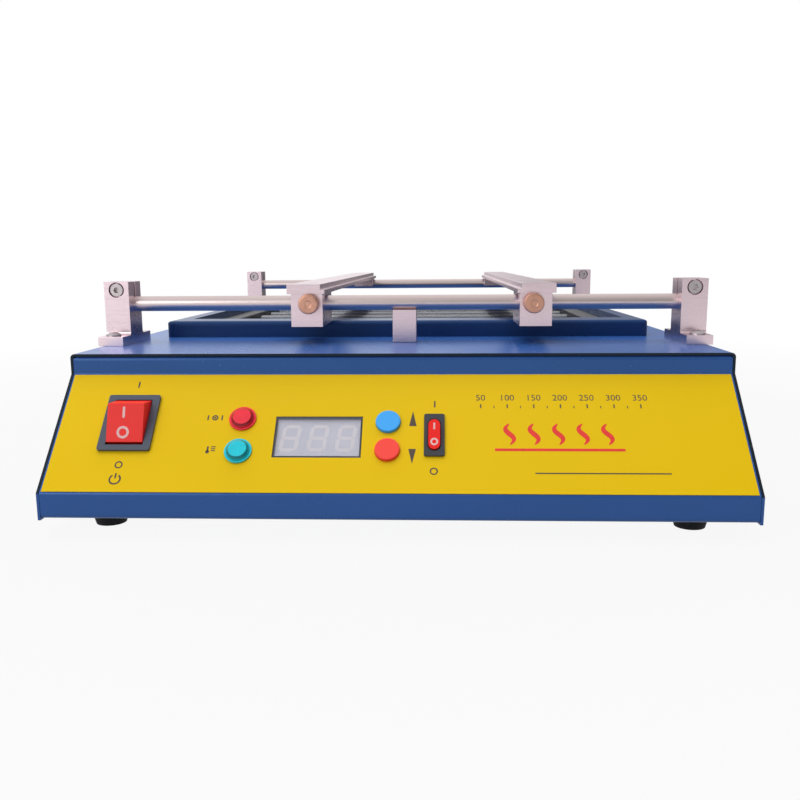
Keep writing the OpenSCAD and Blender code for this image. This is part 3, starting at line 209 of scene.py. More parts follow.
class Shader:
    """The nodes of a material or of the world, emptied first and joined to its output."""

    def __init__(self, owner, out):
        owner.use_nodes = True
        self.tree = owner.node_tree
        self.tree.nodes.clear()
        self.surface = self.tree.nodes.new(out).inputs["Surface"]

    def node(self, kind, settings, inputs, output=0):
        """Adds a node of a kind, sets its settings, then gives its sockets values or links."""
        made = self.tree.nodes.new(kind)
        for key, value in settings.items():
            setattr(made, key, value)
        for key, value in inputs.items():
            self.link(made.inputs[key], value)
        return Value(self, made.outputs[output])

    def link(self, socket, value):
        """Gives a socket a value, or joins it to another socket."""
        if isinstance(value, Value):
            self.tree.links.new(value.socket, socket)
        elif socket.type == "RGBA" and len(value) == 3:
            socket.default_value = (*value, 1.0)
        else:
            socket.default_value = value

    def math(self, operation, first, second=0.0):
        return self.node("ShaderNodeMath", {"operation": operation}, {0: first, 1: second})

    def vector(self, operation, first, second=(0, 0, 0), output=0):
        settings = {"operation": operation}
        return self.node("ShaderNodeVectorMath", settings, {0: first, 1: second}, output)

    def axis(self, vector, name):
        """One of the three numbers of a vector."""
        return self.node("ShaderNodeSeparateXYZ", {}, {0: vector}, name)

    def rays(self, *kinds):
        """1 for a ray of one of these kinds and 0 for any other ray."""
        path = self.tree.nodes.new("ShaderNodeLightPath").outputs
        found = Value(self, path[kinds[0]])
        for kind in kinds[1:]:
            found = self.math("MAXIMUM", found, Value(self, path[kind]))
        return found

    def ramp(self, value, low, high, first=0.0, last=1.0):
        """Stretches a value so that low becomes first and high becomes last, and stops there."""
        return self.node("ShaderNodeMapRange", {"clamp": True}, {
            "Value": value, "From Min": low, "From Max": high, "To Min": first, "To Max": last,
        })


class Finish(Shader):
    """A material. Even values are set on its shader, and what varies is linked to it."""

    def __init__(self, name, **even):
        self.material = bpy.data.materials.new(name)
        super().__init__(self.material, "ShaderNodeOutputMaterial")
        self.shader = self.node("ShaderNodeBsdfPrincipled", {}, {
            key.replace("_", " ").title().replace("Ior", "IOR"): value
            for key, value in even.items()
        })
        self.link(self.surface, self.shader)

    def vary(self, **sockets):
        """Links what varies to the shader, and gives the material."""
        for key, value in sockets.items():
            self.link(self.shader.socket.node.inputs[key.replace("_", " ").title()], value)
        return self.material

    def place(self, stretch=(1, 1, 1), centre=(0, 0, 0), tilt=0.0):
        """Object coordinates about a centre, stretched along each axis, then tilted about X."""
        spot = self.node("ShaderNodeTexCoord", {}, {}, "Object")
        return self.node("ShaderNodeMapping", {}, {
            "Vector": self.vector("SUBTRACT", spot, centre),
            "Scale": stretch, "Rotation": (tilt, 0, 0),
        })

    def noise(self, scale, detail=3.0, stretch=(1, 1, 1), rough=0.5):
        """Soft noise from 0 to 1, with its features about 1 / scale apart."""
        return self.node("ShaderNodeTexNoise", {}, {
            "Vector": self.place(stretch), "Scale": scale, "Detail": detail, "Roughness": rough,
        })

    def mix(self, share, first, second):
        """A colour between two colours."""
        return self.node("ShaderNodeMix", {"data_type": "RGBA"}, {0: share, 6: first, 7: second}, 2)

    def bump(self, height, distance, strength):
        """A normal tilted by a height, which stands for a distance in metres."""
        return self.node("ShaderNodeBump", {}, {
            "Height": height, "Distance": distance, "Strength": strength,
        })


def shade(base, factor):
    """A colour made lighter or darker by a factor."""
    return tuple(min(1.0, c * factor) for c in base)


# Finishes


def gloss_paint(name, base, edges=None):
    """Gloss paint: a faint orange peel, small dust specks and slightly duller patches. Where the
    sheet's cut edges are given, they are painted near black as painted shade."""
    f = Finish(name, metallic=0.1, specular_tint=(0.6, 0.8, 1.0, 1.0), ior=1.45)
    peel = f.noise(420, 2)
    patch = f.noise(14, 4)
    specks = f.ramp(f.noise(900, 1), 0.76, 0.82)
    body = f.mix(patch, shade(base, 0.9), shade(base, 1.12))
    body = f.mix(specks * 0.1, body, (0.35, 0.45, 0.7))
    # Painted shade: the cut edges are painted near black, where they sit back in shadow
    if edges:
        body = f.mix(edges(f), body, (0.004, 0.006, 0.012))
    return f.vary(
        base_color=body,
        roughness=0.2 + 0.14 * patch + 0.2 * specks,
        normal=f.bump(peel + 0.4 * specks, 0.05 * MM, 0.4),
    )


def cover_edges(f):
    """1 on the cut front edges of the cover's sheet, which are painted dark as painted shade, and 0
    elsewhere. They lie on the plane under the label, and above it on the upright plane through its
    upper bend."""
    panel = panel_plane()
    bend = panel.origin - LABEL_LIFT * panel.out
    spot = f.place()
    out = f.vector("DOT_PRODUCT", spot, tuple(panel.out), "Value")
    y, z = f.axis(spot, "Y"), f.axis(spot, "Z")
    on_slope = f.math("GREATER_THAN", out, bend @ panel.out - CUT_DEPTH)
    on_slope = on_slope * f.math("LESS_THAN", z, bend[2])
    on_deck = f.math("LESS_THAN", y, bend[1] + CUT_DEPTH)
    on_deck = on_deck * f.math("GREATER_THAN", z, bend[2])
    return f.math("MAXIMUM", on_slope, on_deck)


def panel_film(name, base):
    """Printed polyester film: a fine matt grain and a slight unevenness of the ink."""
    f = Finish(name, ior=1.48, specular_ior_level=0.1)
    grain = f.noise(2600, 2)
    cloud = f.noise(9, 3)
    return f.vary(
        base_color=f.mix(cloud, shade(base, 0.95), shade(base, 1.05)),
        roughness=0.36 + 0.12 * grain,
        normal=f.bump(grain, 0.02 * MM, 0.35),
    )


def ink(name, base):
    """Screen-printed ink, slightly uneven in colour and gloss."""
    f = Finish(name, ior=1.45)
    patch = f.noise(700, 3)
    return f.vary(
        base_color=f.mix(patch, shade(base, 0.85), shade(base, 1.3)),
        roughness=0.42 + 0.16 * patch,
    )


def ground_metal(name, base, stretch, scale, rough, depth, streak=0.5):
    """Bare metal with fine machining lines: noise of a scale, stretched along the direction of the
    cut. The lines have a depth, and a streak tells how much darker they are."""
    f = Finish(name, metallic=1.0)
    lines = f.noise(scale, 4, stretch, 0.6)
    patch = f.noise(60, 3)
    dark, light = shade(base, 1 - 0.16 * streak), shade(base, 1.06)
    return f.vary(
        base_color=f.mix(f.ramp(lines, 0.3, 0.7), dark, light),
        roughness=rough + 0.12 * lines + 0.06 * patch,
        normal=f.bump(lines, depth, 0.5),
    )


def turned_metal(name, base, centre):
    """Turned metal: fine rings about the lathe's axis, which runs along Y through a centre."""
    f = Finish(name, metallic=1.0)
    radial = f.vector("LENGTH", f.place((1, 0, 1), centre), output="Value")
    radians_per_metre = 26000
    rings = f.math("SINE", radial * radians_per_metre)
    patch = f.noise(320, 3)
    return f.vary(
        base_color=f.mix(patch, shade(base, 0.82), shade(base, 1.12)),
        roughness=0.27 + 0.05 * rings + 0.12 * patch,
        normal=f.bump(rings, 0.01 * MM, 0.4),
    )


def moulded(name, base, rough, gloss=0.5):
    """Moulded plastic: a fine spark texture, with faint flow marks in its gloss."""
    f = Finish(name, ior=1.5, specular_ior_level=gloss)
    spark = f.noise(2200, 3)
    flow = f.noise(70, 3)
    return f.vary(
        base_color=f.mix(flow, shade(base, 0.92), shade(base, 1.08)),
        roughness=rough + 0.12 * spark + 0.06 * flow,
        normal=f.bump(spark, 0.02 * MM, 0.4),
    )


def lens_plastic(name, base, node):
    """Tinted lens: a bright flat face, a ring of painted shade where the plastic slopes away round it,
    and a rim. The rings are about the lamp's axis, which is square to the panel."""
    f = Finish(name, ior=1.49, specular_ior_level=0.3)
    low, high = box_of(node)
    out = panel_plane().out
    spot = f.place(centre=tuple((low + high) / 2), tilt=math.atan2(out[1], out[2]))
    radius = f.vector("LENGTH", f.vector("MULTIPLY", spot, (1, 1, 0)), output="Value")
    across = (high[0] - low[0]) / 2
    inner = f.ramp(radius, 0.64 * across, 0.70 * across)
    outer = f.ramp(radius, 0.80 * across, 0.86 * across)
    # Painted shade: the sloped ring round the face is darkened in the base colour
    dark = inner - outer
    facets = f.noise(240, 2)
    face = f.mix(facets, shade(base, 0.9), shade(base, 1.15))
    return f.vary(
        base_color=f.mix(dark * 0.7, face, shade(base, 0.12)),
        roughness=0.12 + 0.12 * facets,
    )


def quartz_glass(name):
    """Grey quartz: mostly clear, with faint streaks along the tube."""
    f = Finish(name, ior=1.46, transmission_weight=0.9, specular_ior_level=0.1)
    streak = f.noise(180, 3, (0.08, 1, 1))
    return f.vary(
        base_color=f.mix(streak, (0.20, 0.21, 0.24), (0.36, 0.37, 0.41)),
        roughness=0.06 + 0.2 * streak,
    )


def rubber(name):
    """Black rubber with a dusty bloom and a fine moulded grain."""
    f = Finish(name, ior=1.5, specular_ior_level=0.2)
    dust = f.noise(160, 4)
    grain = f.noise(1800, 2)
    return f.vary(
        base_color=f.mix(
            f.ramp(dust, 0.45, 0.85), (0.006, 0.007, 0.009), (0.022, 0.022, 0.023)
        ),
        roughness=0.55 + 0.2 * grain,
        normal=f.bump(grain, 0.04 * MM, 0.5),
    )


def fibre(name):
    """Pressed mineral fibre: mottled white with a rough, felted surface."""
    f = Finish(name)
    strands = f.noise(700, 5, (1, 0.3, 1))
    return f.vary(
        base_color=f.mix(strands, (0.62, 0.60, 0.55), (0.86, 0.85, 0.82)),
        roughness=0.8 + 0.15 * strands,
        normal=f.bump(strands, 0.3 * MM, 0.6),
    )


def ceramic(name):
    """Unglazed white ceramic with a sandy grain and faint firing stains."""
    f = Finish(name)
    grain = f.noise(1500, 3)
    stain = f.ramp(f.noise(90, 4), 0.45, 0.8)
    return f.vary(
        base_color=f.mix(stain, (0.80, 0.78, 0.73), (0.66, 0.60, 0.52)),
        roughness=0.5 + 0.25 * grain,
        normal=f.bump(grain, 0.04 * MM, 0.4),
    )


def circuit_board(name):
    """Green lacquered board: paler tracks in a square pattern under a glossy mask."""
    f = Finish(name, ior=1.5, coat_weight=0.4, coat_roughness=0.15)
    tracks = f.node("ShaderNodeTexBrick", {"offset": 0.3}, {
        "Vector": f.place(), "Scale": 220.0, "Mortar Size": 0.03,
        "Color1": (0.0, 0.0, 0.0, 1.0), "Color2": (0.25, 0.25, 0.25, 1.0),
        "Mortar": (1.0, 1.0, 1.0, 1.0),
    }, "Color")
    return f.vary(
        base_color=f.mix(tracks, (0.010, 0.13, 0.045), (0.035, 0.26, 0.09)),
        roughness=0.3 + 0.1 * f.noise(300, 2),
    )


def clear_window(name):
    """Clear acrylic: a faint tint and a fine haze of wiping marks, seen mostly in its gloss."""
    f = Finish(name, ior=1.49, alpha=0.16, base_color=(0.62, 0.60, 0.70, 1.0))
    wipes = f.noise(320, 3, (0.2, 1, 1))
    return f.vary(roughness=0.05 + 0.1 * wipes)


def finishes(colours):
    """Every finish by its name, which is that of its material slot where the record has one. A row
    holds the finish's maker and what it is given after the name."""
    plain, lengthwise = (1, 1, 1), (0.05, 1, 1)
    table = {
        "blue_paint": (gloss_paint, colours.paint),
        # The cover's cut edges carry painted shade
        "cover_paint": (gloss_paint, colours.paint, cover_edges),
        # Painted shade: the heater frame's paint is the housing's paint made darker
        "frame_paint": (gloss_paint, colours.frame_paint),
        "yellow_film": (panel_film, colours.film),
        "dark_ink": (ink, colours.ink),
        "red_ink": (ink, colours.red_ink),
        "pale_ink": (ink, colours.pale_ink),
        # The steel's and aluminium's pink cast is painted reflection of a pinkish room
        "polished_steel": (ground_metal, colours.steel, (60, 1, 1), 1400, 0.26, 0.003 * MM, 0.4),
        "bright_aluminium": (
            ground_metal, colours.aluminium, (0.1, 1, 1), 900, 0.2, 0.001 * MM, 0.2,
        ),
        "reflector_metal": (ground_metal, (0.13, 0.13, 0.14), lengthwise, 400, 0.2, 0.02 * MM),
        "pan_metal": (ground_metal, (0.09, 0.09, 0.10), lengthwise, 400, 0.35, 0.02 * MM),
        "coil_wire": (ground_metal, (0.30, 0.27, 0.25), plain, 900, 0.4, 0.02 * MM),
        "core_steel": (ground_metal, (0.20, 0.20, 0.21), (1, 1, 0.05), 900, 0.45, 0.05 * MM),
        "dark_screw": (ground_metal, (0.035, 0.035, 0.04), plain, 700, 0.32, 0.02 * MM),
        "bright_screw": (ground_metal, (0.55, 0.50, 0.51), plain, 700, 0.24, 0.02 * MM),
        "contact_brass": (ground_metal, (0.70, 0.52, 0.22), (1, 0.1, 1), 700, 0.3, 0.02 * MM),
        "black_plastic": (moulded, (0.030, 0.034, 0.042), 0.3),
        "black_gloss": (moulded, (0.050, 0.066, 0.100), 0.3, 0.6),
        "red_plastic": (moulded, colours.red_plastic, 0.3, 0.3),
        "red_cap": (moulded, colours.red_cap, 0.4),
        "blue_cap": (moulded, colours.blue_cap, 0.4),
        "display_face": (moulded, colours.display, 0.45),
        "segment": (moulded, colours.segment, 0.5),
        "red_lens": (lens_plastic, colours.red_lens, "set_lamp"),
        "cyan_lens": (lens_plastic, colours.cyan_lens, "current_lamp"),
        "clear_acrylic": (clear_window,),
        "quartz": (quartz_glass,),
        "black_rubber": (rubber,),
        "fibre_board": (fibre,),
        "white_ceramic": (ceramic,),
        "green_board": (circuit_board,),
    }
    return {name: maker(name, *values) for name, (maker, *values) in table.items()}


def finish_of(slot):
    """The finish of a slot, made with all the others when it is first asked for."""
    if slot not in FINISHES:
        FINISHES.update(finishes(bpy.context.scene.preheater_colours))
    return FINISHES[slot]


def dress(slot, *nodes):
    """Gives solids of the frame a finish."""
    for node in nodes:
        mesh = NODES[node].data
        mesh.materials.clear()
        mesh.materials.append(finish_of(slot))


# Shapes


def array(items, key, width):
    """One value of every item of a mesh collection as rows of an array."""
    kind = np.int32 if key == "vertices" else np.float32
    flat = np.zeros(len(items) * width, kind)
    items.foreach_get(key, flat)
    return flat.reshape(-1, width)


def box_of(node):
    """Lowest and highest corner of a node."""
    return [np.array(corner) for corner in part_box(node)]


def middle_of(points):
    """Middle of the box round some points."""
    return (points.min(0) + points.max(0)) / 2


def faces_along(node, direction):
    """Corner points of a node's triangles whose normal points along a direction, as rows."""
    mesh = NODES[node].data
    facing = array(mesh.polygons, "normal", 3) @ direction > SAME_WAY
    corners = array(mesh.polygons, "vertices", 3)[facing]
    return array(mesh.vertices, "co", 3)[corners].reshape(-1, 3).astype(float)


class Plane:
    """A flat place on the sloped front: x runs across, y up the slope and z outward."""

    def __init__(self, origin, out):
        self.origin, self.out = np.asarray(origin, float), np.asarray(out, float)
        self.up = np.cross(self.out, X_AXIS)

    def world(self, points):
        """Points of the plane, given as rows of x, y and z, in the shared frame."""
        return self.origin + points @ np.stack((X_AXIS, self.up, self.out))


def panel_plane():
    """The label's face: its normal is the mean of the faces that look up and forward, and its
    origin is in the middle of the panel's upper bend, one margin above the label's upper edge."""
    mesh = NODES["front_label"].data
    normal, area = array(mesh.polygons, "normal", 3), array(mesh.polygons, "area", 1)
    lean = 0.3
    facing = (normal[:, 1] < -lean) & (normal[:, 2] > lean)
    out = (normal * area)[facing].sum(0).astype(float)
    out /= np.linalg.norm(out)
    points = array(mesh.vertices, "co", 3).astype(float)
    up = np.cross(out, X_AXIS)
    return Plane(up * ((points @ up).max() + LABEL_MARGIN) + out * (points @ out).max(), out)


def rocker_face(node, swing):
    """The flat face of a rocker and its length. At rest it is turned from the panel by half the
    swing, with its upper end out. The origin is in its middle."""
    panel = panel_plane()
    out = math.cos(swing / 2) * panel.out - math.sin(swing / 2) * panel.up
    points = faces_along(node, out)
    face = Plane(middle_of(points), out)
    return face, np.ptp(points @ face.up)


def grid_faces(rows, columns, closed=False):
    """Corner numbers of the squares of a grid of points. Each row closes on itself, and the last
    row may join the first."""
    i = np.arange(rows if closed else rows - 1)[:, None]
    j = np.arange(columns)[None, :]
    k, m = (i + 1) % rows, (j + 1) % columns
    corners = [a * columns + b for a, b in ((i, j), (i, m), (k, m), (k, j))]
    return np.stack([np.broadcast_to(c, (i.size, j.size)) for c in corners], -1).reshape(-1, 4)


def capped(rings):
    """The skin over a row of rings of points, with a flat face at each end."""
    rows, columns = rings.shape[:2]
    first = list(range(columns))
    last = [(rows - 1) * columns + k for k in first]
    return rings.reshape(-1, 3), [*grid_faces(rows, columns).tolist(), first[::-1], last]


def plate(outline, height):
    """A flat plate: an outline, drawn anticlockwise, carried straight up to a height."""
    n = len(outline)
    points = np.concatenate([np.column_stack((outline, np.full(n, z))) for z in (0, height)])
    sides = grid_faces(2, n).tolist()
    return points, [list(range(n))[::-1], list(range(n, 2 * n)), *sides]


def stroke(path, width, height, closed=False):
    """A flat line: a rectangle of a width carried along a path, square to it at each point."""
    path = np.asarray(path, float)
    along = np.gradient(path, axis=0)
    if closed:
        along = np.roll(path, -1, 0) - np.roll(path, 1, 0)
    along /= np.linalg.norm(along, axis=1, keepdims=True)
    side = np.column_stack((-along[:, 1], along[:, 0])) * np.reshape(width, (-1, 1)) / 2
    section = [(path - side, 0), (path - side, height), (path + side, height), (path + side, 0)]
    points = np.stack([np.column_stack((p, np.full(len(p), z))) for p, z in section], 1)
    faces = grid_faces(len(path), 4, closed)[:, ::-1].tolist()
    if not closed:
        last = 4 * (len(path) - 1)
        faces += [[0, 1, 2, 3], [last + 3, last + 2, last + 1, last]]
    return points.reshape(-1, 3), faces


def circle(radius, count=48, start=0.0, sweep=2 * math.pi, ends=False):
    """Points round a circle, from a start angle through a sweep."""
    angle = start + np.linspace(0, sweep, count, endpoint=ends)
    return radius * np.column_stack((np.cos(angle), np.sin(angle)))


def pill(width, height, count=12):
    """Outline of an upright bar with round ends: two half circles joined by straight sides."""
    ends = circle(width / 2, count, 0, math.pi, True)
    lift = np.array((0, (height - width) / 2))
    return np.concatenate((ends + lift, -ends - lift))


def moved(part, x, y):
    """A flat part moved across and up its plane."""
    points, faces = part
    return points + np.array((x, y, 0)), faces


def bar(width, size, height, x=0, y=0):
    """An upright bar with round ends, at a place of its plane."""
    return moved(plate(pill(width, size), height), x, y)


def joined(parts):
    """Several parts as one set of points and faces."""
    starts = np.cumsum([0] + [len(points) for points, _ in parts]).tolist()
    faces = [[start + k for k in face] for (_, own), start in zip(parts, starts) for face in own]
    return np.concatenate([points for points, _ in parts]), faces


def shown(name, data):
    """A new object in the scene."""
    made = bpy.data.objects.new(name, data)
    bpy.context.scene.collection.objects.link(made)
    return made


def piece(name, points, faces, body, slot, smooth=False, record_slot=None):
    """A new piece from points in the shared frame, which rides on a body and has a finish."""
    mesh = bpy.data.meshes.new(name)
    mesh.from_pydata(points.tolist(), [], faces)
    mesh.update()
    mesh.materials.append(finish_of(slot))
    if smooth:
        mesh.shade_smooth()
    made = shown(name, mesh)
    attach(made, body)
    record_slot or slot in RECORD_SLOTS
    return made


def modify(made, kind, name, **settings):
    """Adds a modifier to a piece."""
    added = made.modifiers.new(name, kind)
    for key, value in settings.items():
        setattr(added, key, value)


# Signs


def bar_sign(size, height):
    """On: an upright bar."""
    return bar(0.2 * size, size, height)


def ring_sign(size, width, height):
    """Off: a ring."""
    return stroke(circle((size - width) / 2), width, height, True)


def mains_sign(size, width, height):
    """Mains: a ring that is open at the top, with an upright bar in the opening."""
    gap = math.radians(35)
    arc = circle(0.42 * size, start=math.pi / 2 + gap, sweep=2 * (math.pi - gap), ends=True)
    return joined([stroke(arc, width, height), bar(width, 0.5 * size, height, 0, 0.3 * size)])


def arrow_sign(width, size, height):
    """A tall triangle that points up, or down where its size is negative."""
    outline = np.array(((-width / 2, 0), (width / 2, 0), (0, size)))
    return plate(outline if size > 0 else outline[::-1], height)


def target_sign(size, width, height):
    """Wanted value: a ring with a dot in its middle and a tick on either side."""
    parts = [ring_sign(0.8 * size, width, height), plate(circle(0.15 * size, 20), height)]
    for side in (-1, 1):
        parts.append(bar(width, 0.8 * size, height, side * 0.9 * size))
    return joined(parts)


def probe_sign(size, width, height):
    """Measured value: a thermometer, with a bulb under a stem and three ticks beside it."""
    parts = [
        moved(plate(circle(0.24 * size, 28), height), 0, -0.3 * size),
        bar(1.3 * width, 0.75 * size, height, 0, 0.12 * size),
    ]
    for k in range(3):
        tick = stroke(((0.42 * size, 0), (0.95 * size, 0)), 0.8 * width, height)
        parts.append(moved(tick, 0, (0.42 - 0.28 * k) * size))
    return joined(parts)


def heat_sign(size, height):
    """Heat: five waves over a bar. A wave is one sine turn whose width swells in its middle."""
    t = np.linspace(0, 1, 60)
    wave = np.column_stack((0.13 * size * np.sin(2 * math.pi * t), size * (0.2 + 0.8 * t)))
    width = size * (0.03 + 0.15 * np.sin(math.pi * t) ** 0.8)
    parts = [moved(stroke(wave, width, height), k * 0.8 * size, 0) for k in range(-2, 3)]
    parts.append(stroke(((-2.1 * size, 0), (2.1 * size, 0)), 0.1 * size, height))
    return joined(parts)


def figures(text, size, height):
    """Plain figures as a flat mesh, from Blender's own font."""
    curve = bpy.data.curves.new("figures", "FONT")
    curve.body, curve.size, curve.align_x = text, size, "CENTER"
    curve.extrude, curve.resolution_u = height / 2, 4
    holder = shown("figures", curve)
    graph = bpy.context.evaluated_depsgraph_get()
    mesh = bpy.data.meshes.new_from_object(holder.evaluated_get(graph))
    bm = bmesh.new()
    bm.from_mesh(mesh)
    bmesh.ops.remove_doubles(bm, verts=bm.verts, dist=MERGE / 10)
    bmesh.ops.recalc_face_normals(bm, faces=bm.faces)
    bm.to_mesh(mesh)
    bm.free()
    points = array(mesh.vertices, "co", 3).astype(float) + np.array((0, 0, height / 2))
    faces = [list(p.vertices) for p in mesh.polygons]
    bpy.data.objects.remove(holder)
    bpy.data.curves.remove(curve)
    bpy.data.meshes.remove(mesh)
    return points, faces


def scale_sign(width, figure, values, line, height):
    """A plain scale: figures over a row of ticks, with short ticks halfway between them."""
    places = np.linspace(-width / 2, width / 2, len(values))
    gap = places[1] - places[0]
    parts = []
    for value, x in zip(values, places):
        parts.append(moved(figures(str(value), figure, height), x, 0.42 * figure))
        parts.append(bar(line, 0.5 * figure, height, x, -0.25 * figure))
    for x in places[:-1] + gap / 2:
        parts.append(bar(0.7 * line, 0.3 * figure, height, x, -0.35 * figure))
    return joined(parts)


class PREHEATER_OT_signs(bpy.types.Operator):
    """Prints the signs on the sloped panel"""

    bl_idname = "preheater.signs"
    bl_label = "Panel signs"

    def execute(self, context):
        sizes = context.scene.preheater_sizes
        ink_h, line, size = sizes.ink_height, sizes.stroke, sizes.sign
        panel = panel_plane()
        arrow_w, up_h, down_h = 3.4 * MM, 8.0 * MM, 7.6 * MM
        scale_w, figure_h = 72 * MM, 4.6 * MM
        rule_half, heat_h = 29 * MM, 13.5 * MM
        # Each sign with its place in millimetres, across the panel and down its slope
        dark = [
            (bar_sign(size, ink_h), -121.5, 6.6),
            (ring_sign(size, line, ink_h), -122.2, 49.8),
            (mains_sign(1.55 * size, 1.2 * line, ink_h), -122.4, 57.0),
            (target_sign(size, line, ink_h), -82.6, 25.0),
            (probe_sign(size, line, ink_h), -83.6, 41.9),
            (arrow_sign(arrow_w, up_h, ink_h), 7.8, 29.3),
            (arrow_sign(arrow_w, -down_h, ink_h), 7.7, 41.2),
            (bar_sign(size, ink_h), 17.6, 17.5),
            (ring_sign(size, line, ink_h), 17.3, 52.4),
            (scale_sign(scale_w, figure_h, range(50, 351, 50), line, ink_h), 74.5, 17.4),
            (stroke(((-rule_half, 0), (rule_half, 0)), line, ink_h), 90.0, 53.2),
        ]
        red = [(heat_sign(heat_h, ink_h), 72.5, 41.5)]
        for name, slot, signs in (
            ("panel_signs", "dark_ink", dark),
            ("panel_heat_sign", "red_ink", red),
        ):
            points, faces = joined([moved(part, x * MM, -s * MM) for part, x, s in signs])
            piece(name, panel.world(points), faces, "housing", slot)
        return {"FINISHED"}


class PREHEATER_OT_rocker_signs(bpy.types.Operator):
    """Prints the on and off signs on the two rockers"""

    bl_idname = "preheater.rocker_signs"
    bl_label = "Rocker signs"

    def execute(self, context):
        ink_h = context.scene.preheater_sizes.ink_height
        for node, body, size, line, aside in (
            ("power_rocker", "power_key", 5.2 * MM, 1.1 * MM, -0.8 * MM),
            ("heater_rocker", "heater_key", 3.2 * MM, 0.8 * MM, 0.0),
        ):
            swing = next(j for j in frame["joints"] if j["child"] == body)["range_deg"]
            face, reach = rocker_face(node, math.radians(max(swing) - min(swing)))
            points, faces = joined([
                bar(line, size, ink_h, aside, 0.27 * reach),
                moved(ring_sign(1.08 * size, line, ink_h), aside, -0.25 * reach),
            ])
            piece(node + "_signs", face.world(points), faces, body, "pale_ink")
        return {"FINISHED"}


def segment_outline(span, width):
    """A lying segment of a digit: a bar with pointed ends."""
    half, tip = span / 2, width / 2
    return np.array((
        (-half, 0), (-half + tip, -tip), (half - tip, -tip),
        (half, 0), (half - tip, tip), (-half + tip, tip),
    ))


def digit(size, lean, height):
    """A seven-segment digit: three lying and four standing bars, sheared to lean to the right."""
    width, thick, slip = 0.56 * size, 0.135 * size, 0.02 * size
    lying = segment_outline(width - slip, thick)
    standing = segment_outline(size / 2 - slip, thick) @ np.array(((0, 1), (-1, 0)))
    places = [(lying, 0, k * size / 2) for k in (-1, 0, 1)]
    places += [(standing, x * width / 2, y * size / 4) for x in (-1, 1) for y in (-1, 1)]
    points, faces = joined([moved(plate(outline, height), x, y) for outline, x, y in places])
    points[:, 0] += points[:, 1] * math.tan(lean)
    return points, faces


class PREHEATER_OT_display(bpy.types.Operator):
    """Makes the display's unlit digits and the dark edge of its window"""

    bl_idname = "preheater.display"
    bl_label = "Display"

    def execute(self, context):
        sizes = context.scene.preheater_sizes
        panel = panel_plane()
        face = faces_along("display_module", panel.out)
        height = face @ panel.out
        face = face[height > height.max() - LEVEL]
        module = Plane(middle_of(face), panel.out)
        one = digit(sizes.digit, sizes.digit_lean, sizes.ink_height)
        points, faces = joined([moved(one, k * sizes.digit_pitch, 0) for k in (-1, 0, 1)])
        piece("display_digits", module.world(points), faces, "housing", "segment",
              record_slot="display_face")

        line, per_side = 0.6 * MM, 12
        window = faces_along("display_window", panel.out)
        middle = Plane(middle_of(window), panel.out)
        reach = (window - middle.origin) @ np.stack((X_AXIS, panel.up)).T
        half = np.abs(reach).max(0) - line / 2
        corners = half * np.array(((1, 1), (-1, 1), (-1, -1), (1, -1)))
        sides = np.concatenate([
            np.linspace(a, b, per_side, endpoint=False)
            for a, b in zip(corners, np.roll(corners, -1, 0))
        ])
        points, faces = stroke(sides, line, sizes.ink_height, True)
        piece("display_edge", middle.world(points), faces, "housing", "black_plastic")
        dress("clear_acrylic", "display_window")
        dress("display_face", "display_module")
        return {"FINISHED"}


# Clamp


def broken_edges(node, body, slot, edge):
    """A copy of a solid with its doubles merged and its flat faces made whole, so that a bevel can
    break its sharp edges. It stands for the solid."""
    bm = bmesh.new()
    bm.from_mesh(NODES[node].data)
    bmesh.ops.remove_doubles(bm, verts=bm.verts, dist=MERGE)
    bmesh.ops.dissolve_limit(bm, angle_limit=FLAT_FOLD, verts=bm.verts, edges=bm.edges)
    mesh = bpy.data.meshes.new(node + "_cut")
    bm.to_mesh(mesh)
    bm.free()
    mesh.materials.append(finish_of(slot))
    mesh.shade_smooth()
    made = shown(node + "_cut", mesh)
    modify(made, "BEVEL", "broken_edge", width=edge, segments=2, limit_method="ANGLE",
           angle_limit=SHARP_FOLD)
    modify(made, "WEIGHTED_NORMAL", "flat_faces", mode="FACE_AREA", weight=100)
    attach(made, body)
    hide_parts(node)


class PREHEATER_OT_clamp(bpy.types.Operator):
    """Finishes the posts, rods and board arms, and breaks the edges of the cut parts"""

    bl_idname = "preheater.clamp"
    bl_label = "Board clamp"

    def execute(self, context):
        edge = context.scene.preheater_sizes.edge
        posts = [f"post_{end}_{side}" for end in ("front", "rear") for side in ("left", "right")]
        for node in (*posts, "rod_rest"):
            broken_edges(node, "housing", "bright_aluminium", edge)
        for side in ("left", "right"):
            for part in ("bar", "slider", "saddle"):
                broken_edges(f"{side}_arm_{part}", f"{side}_arm", "bright_aluminium", edge)
            dress("bright_screw", f"{side}_arm_screws")
        dress("polished_steel", "front_rod", "rear_rod")
        dress("bright_screw", "post_clamp_screws", "post_base_screws")
        return {"FINISHED"}


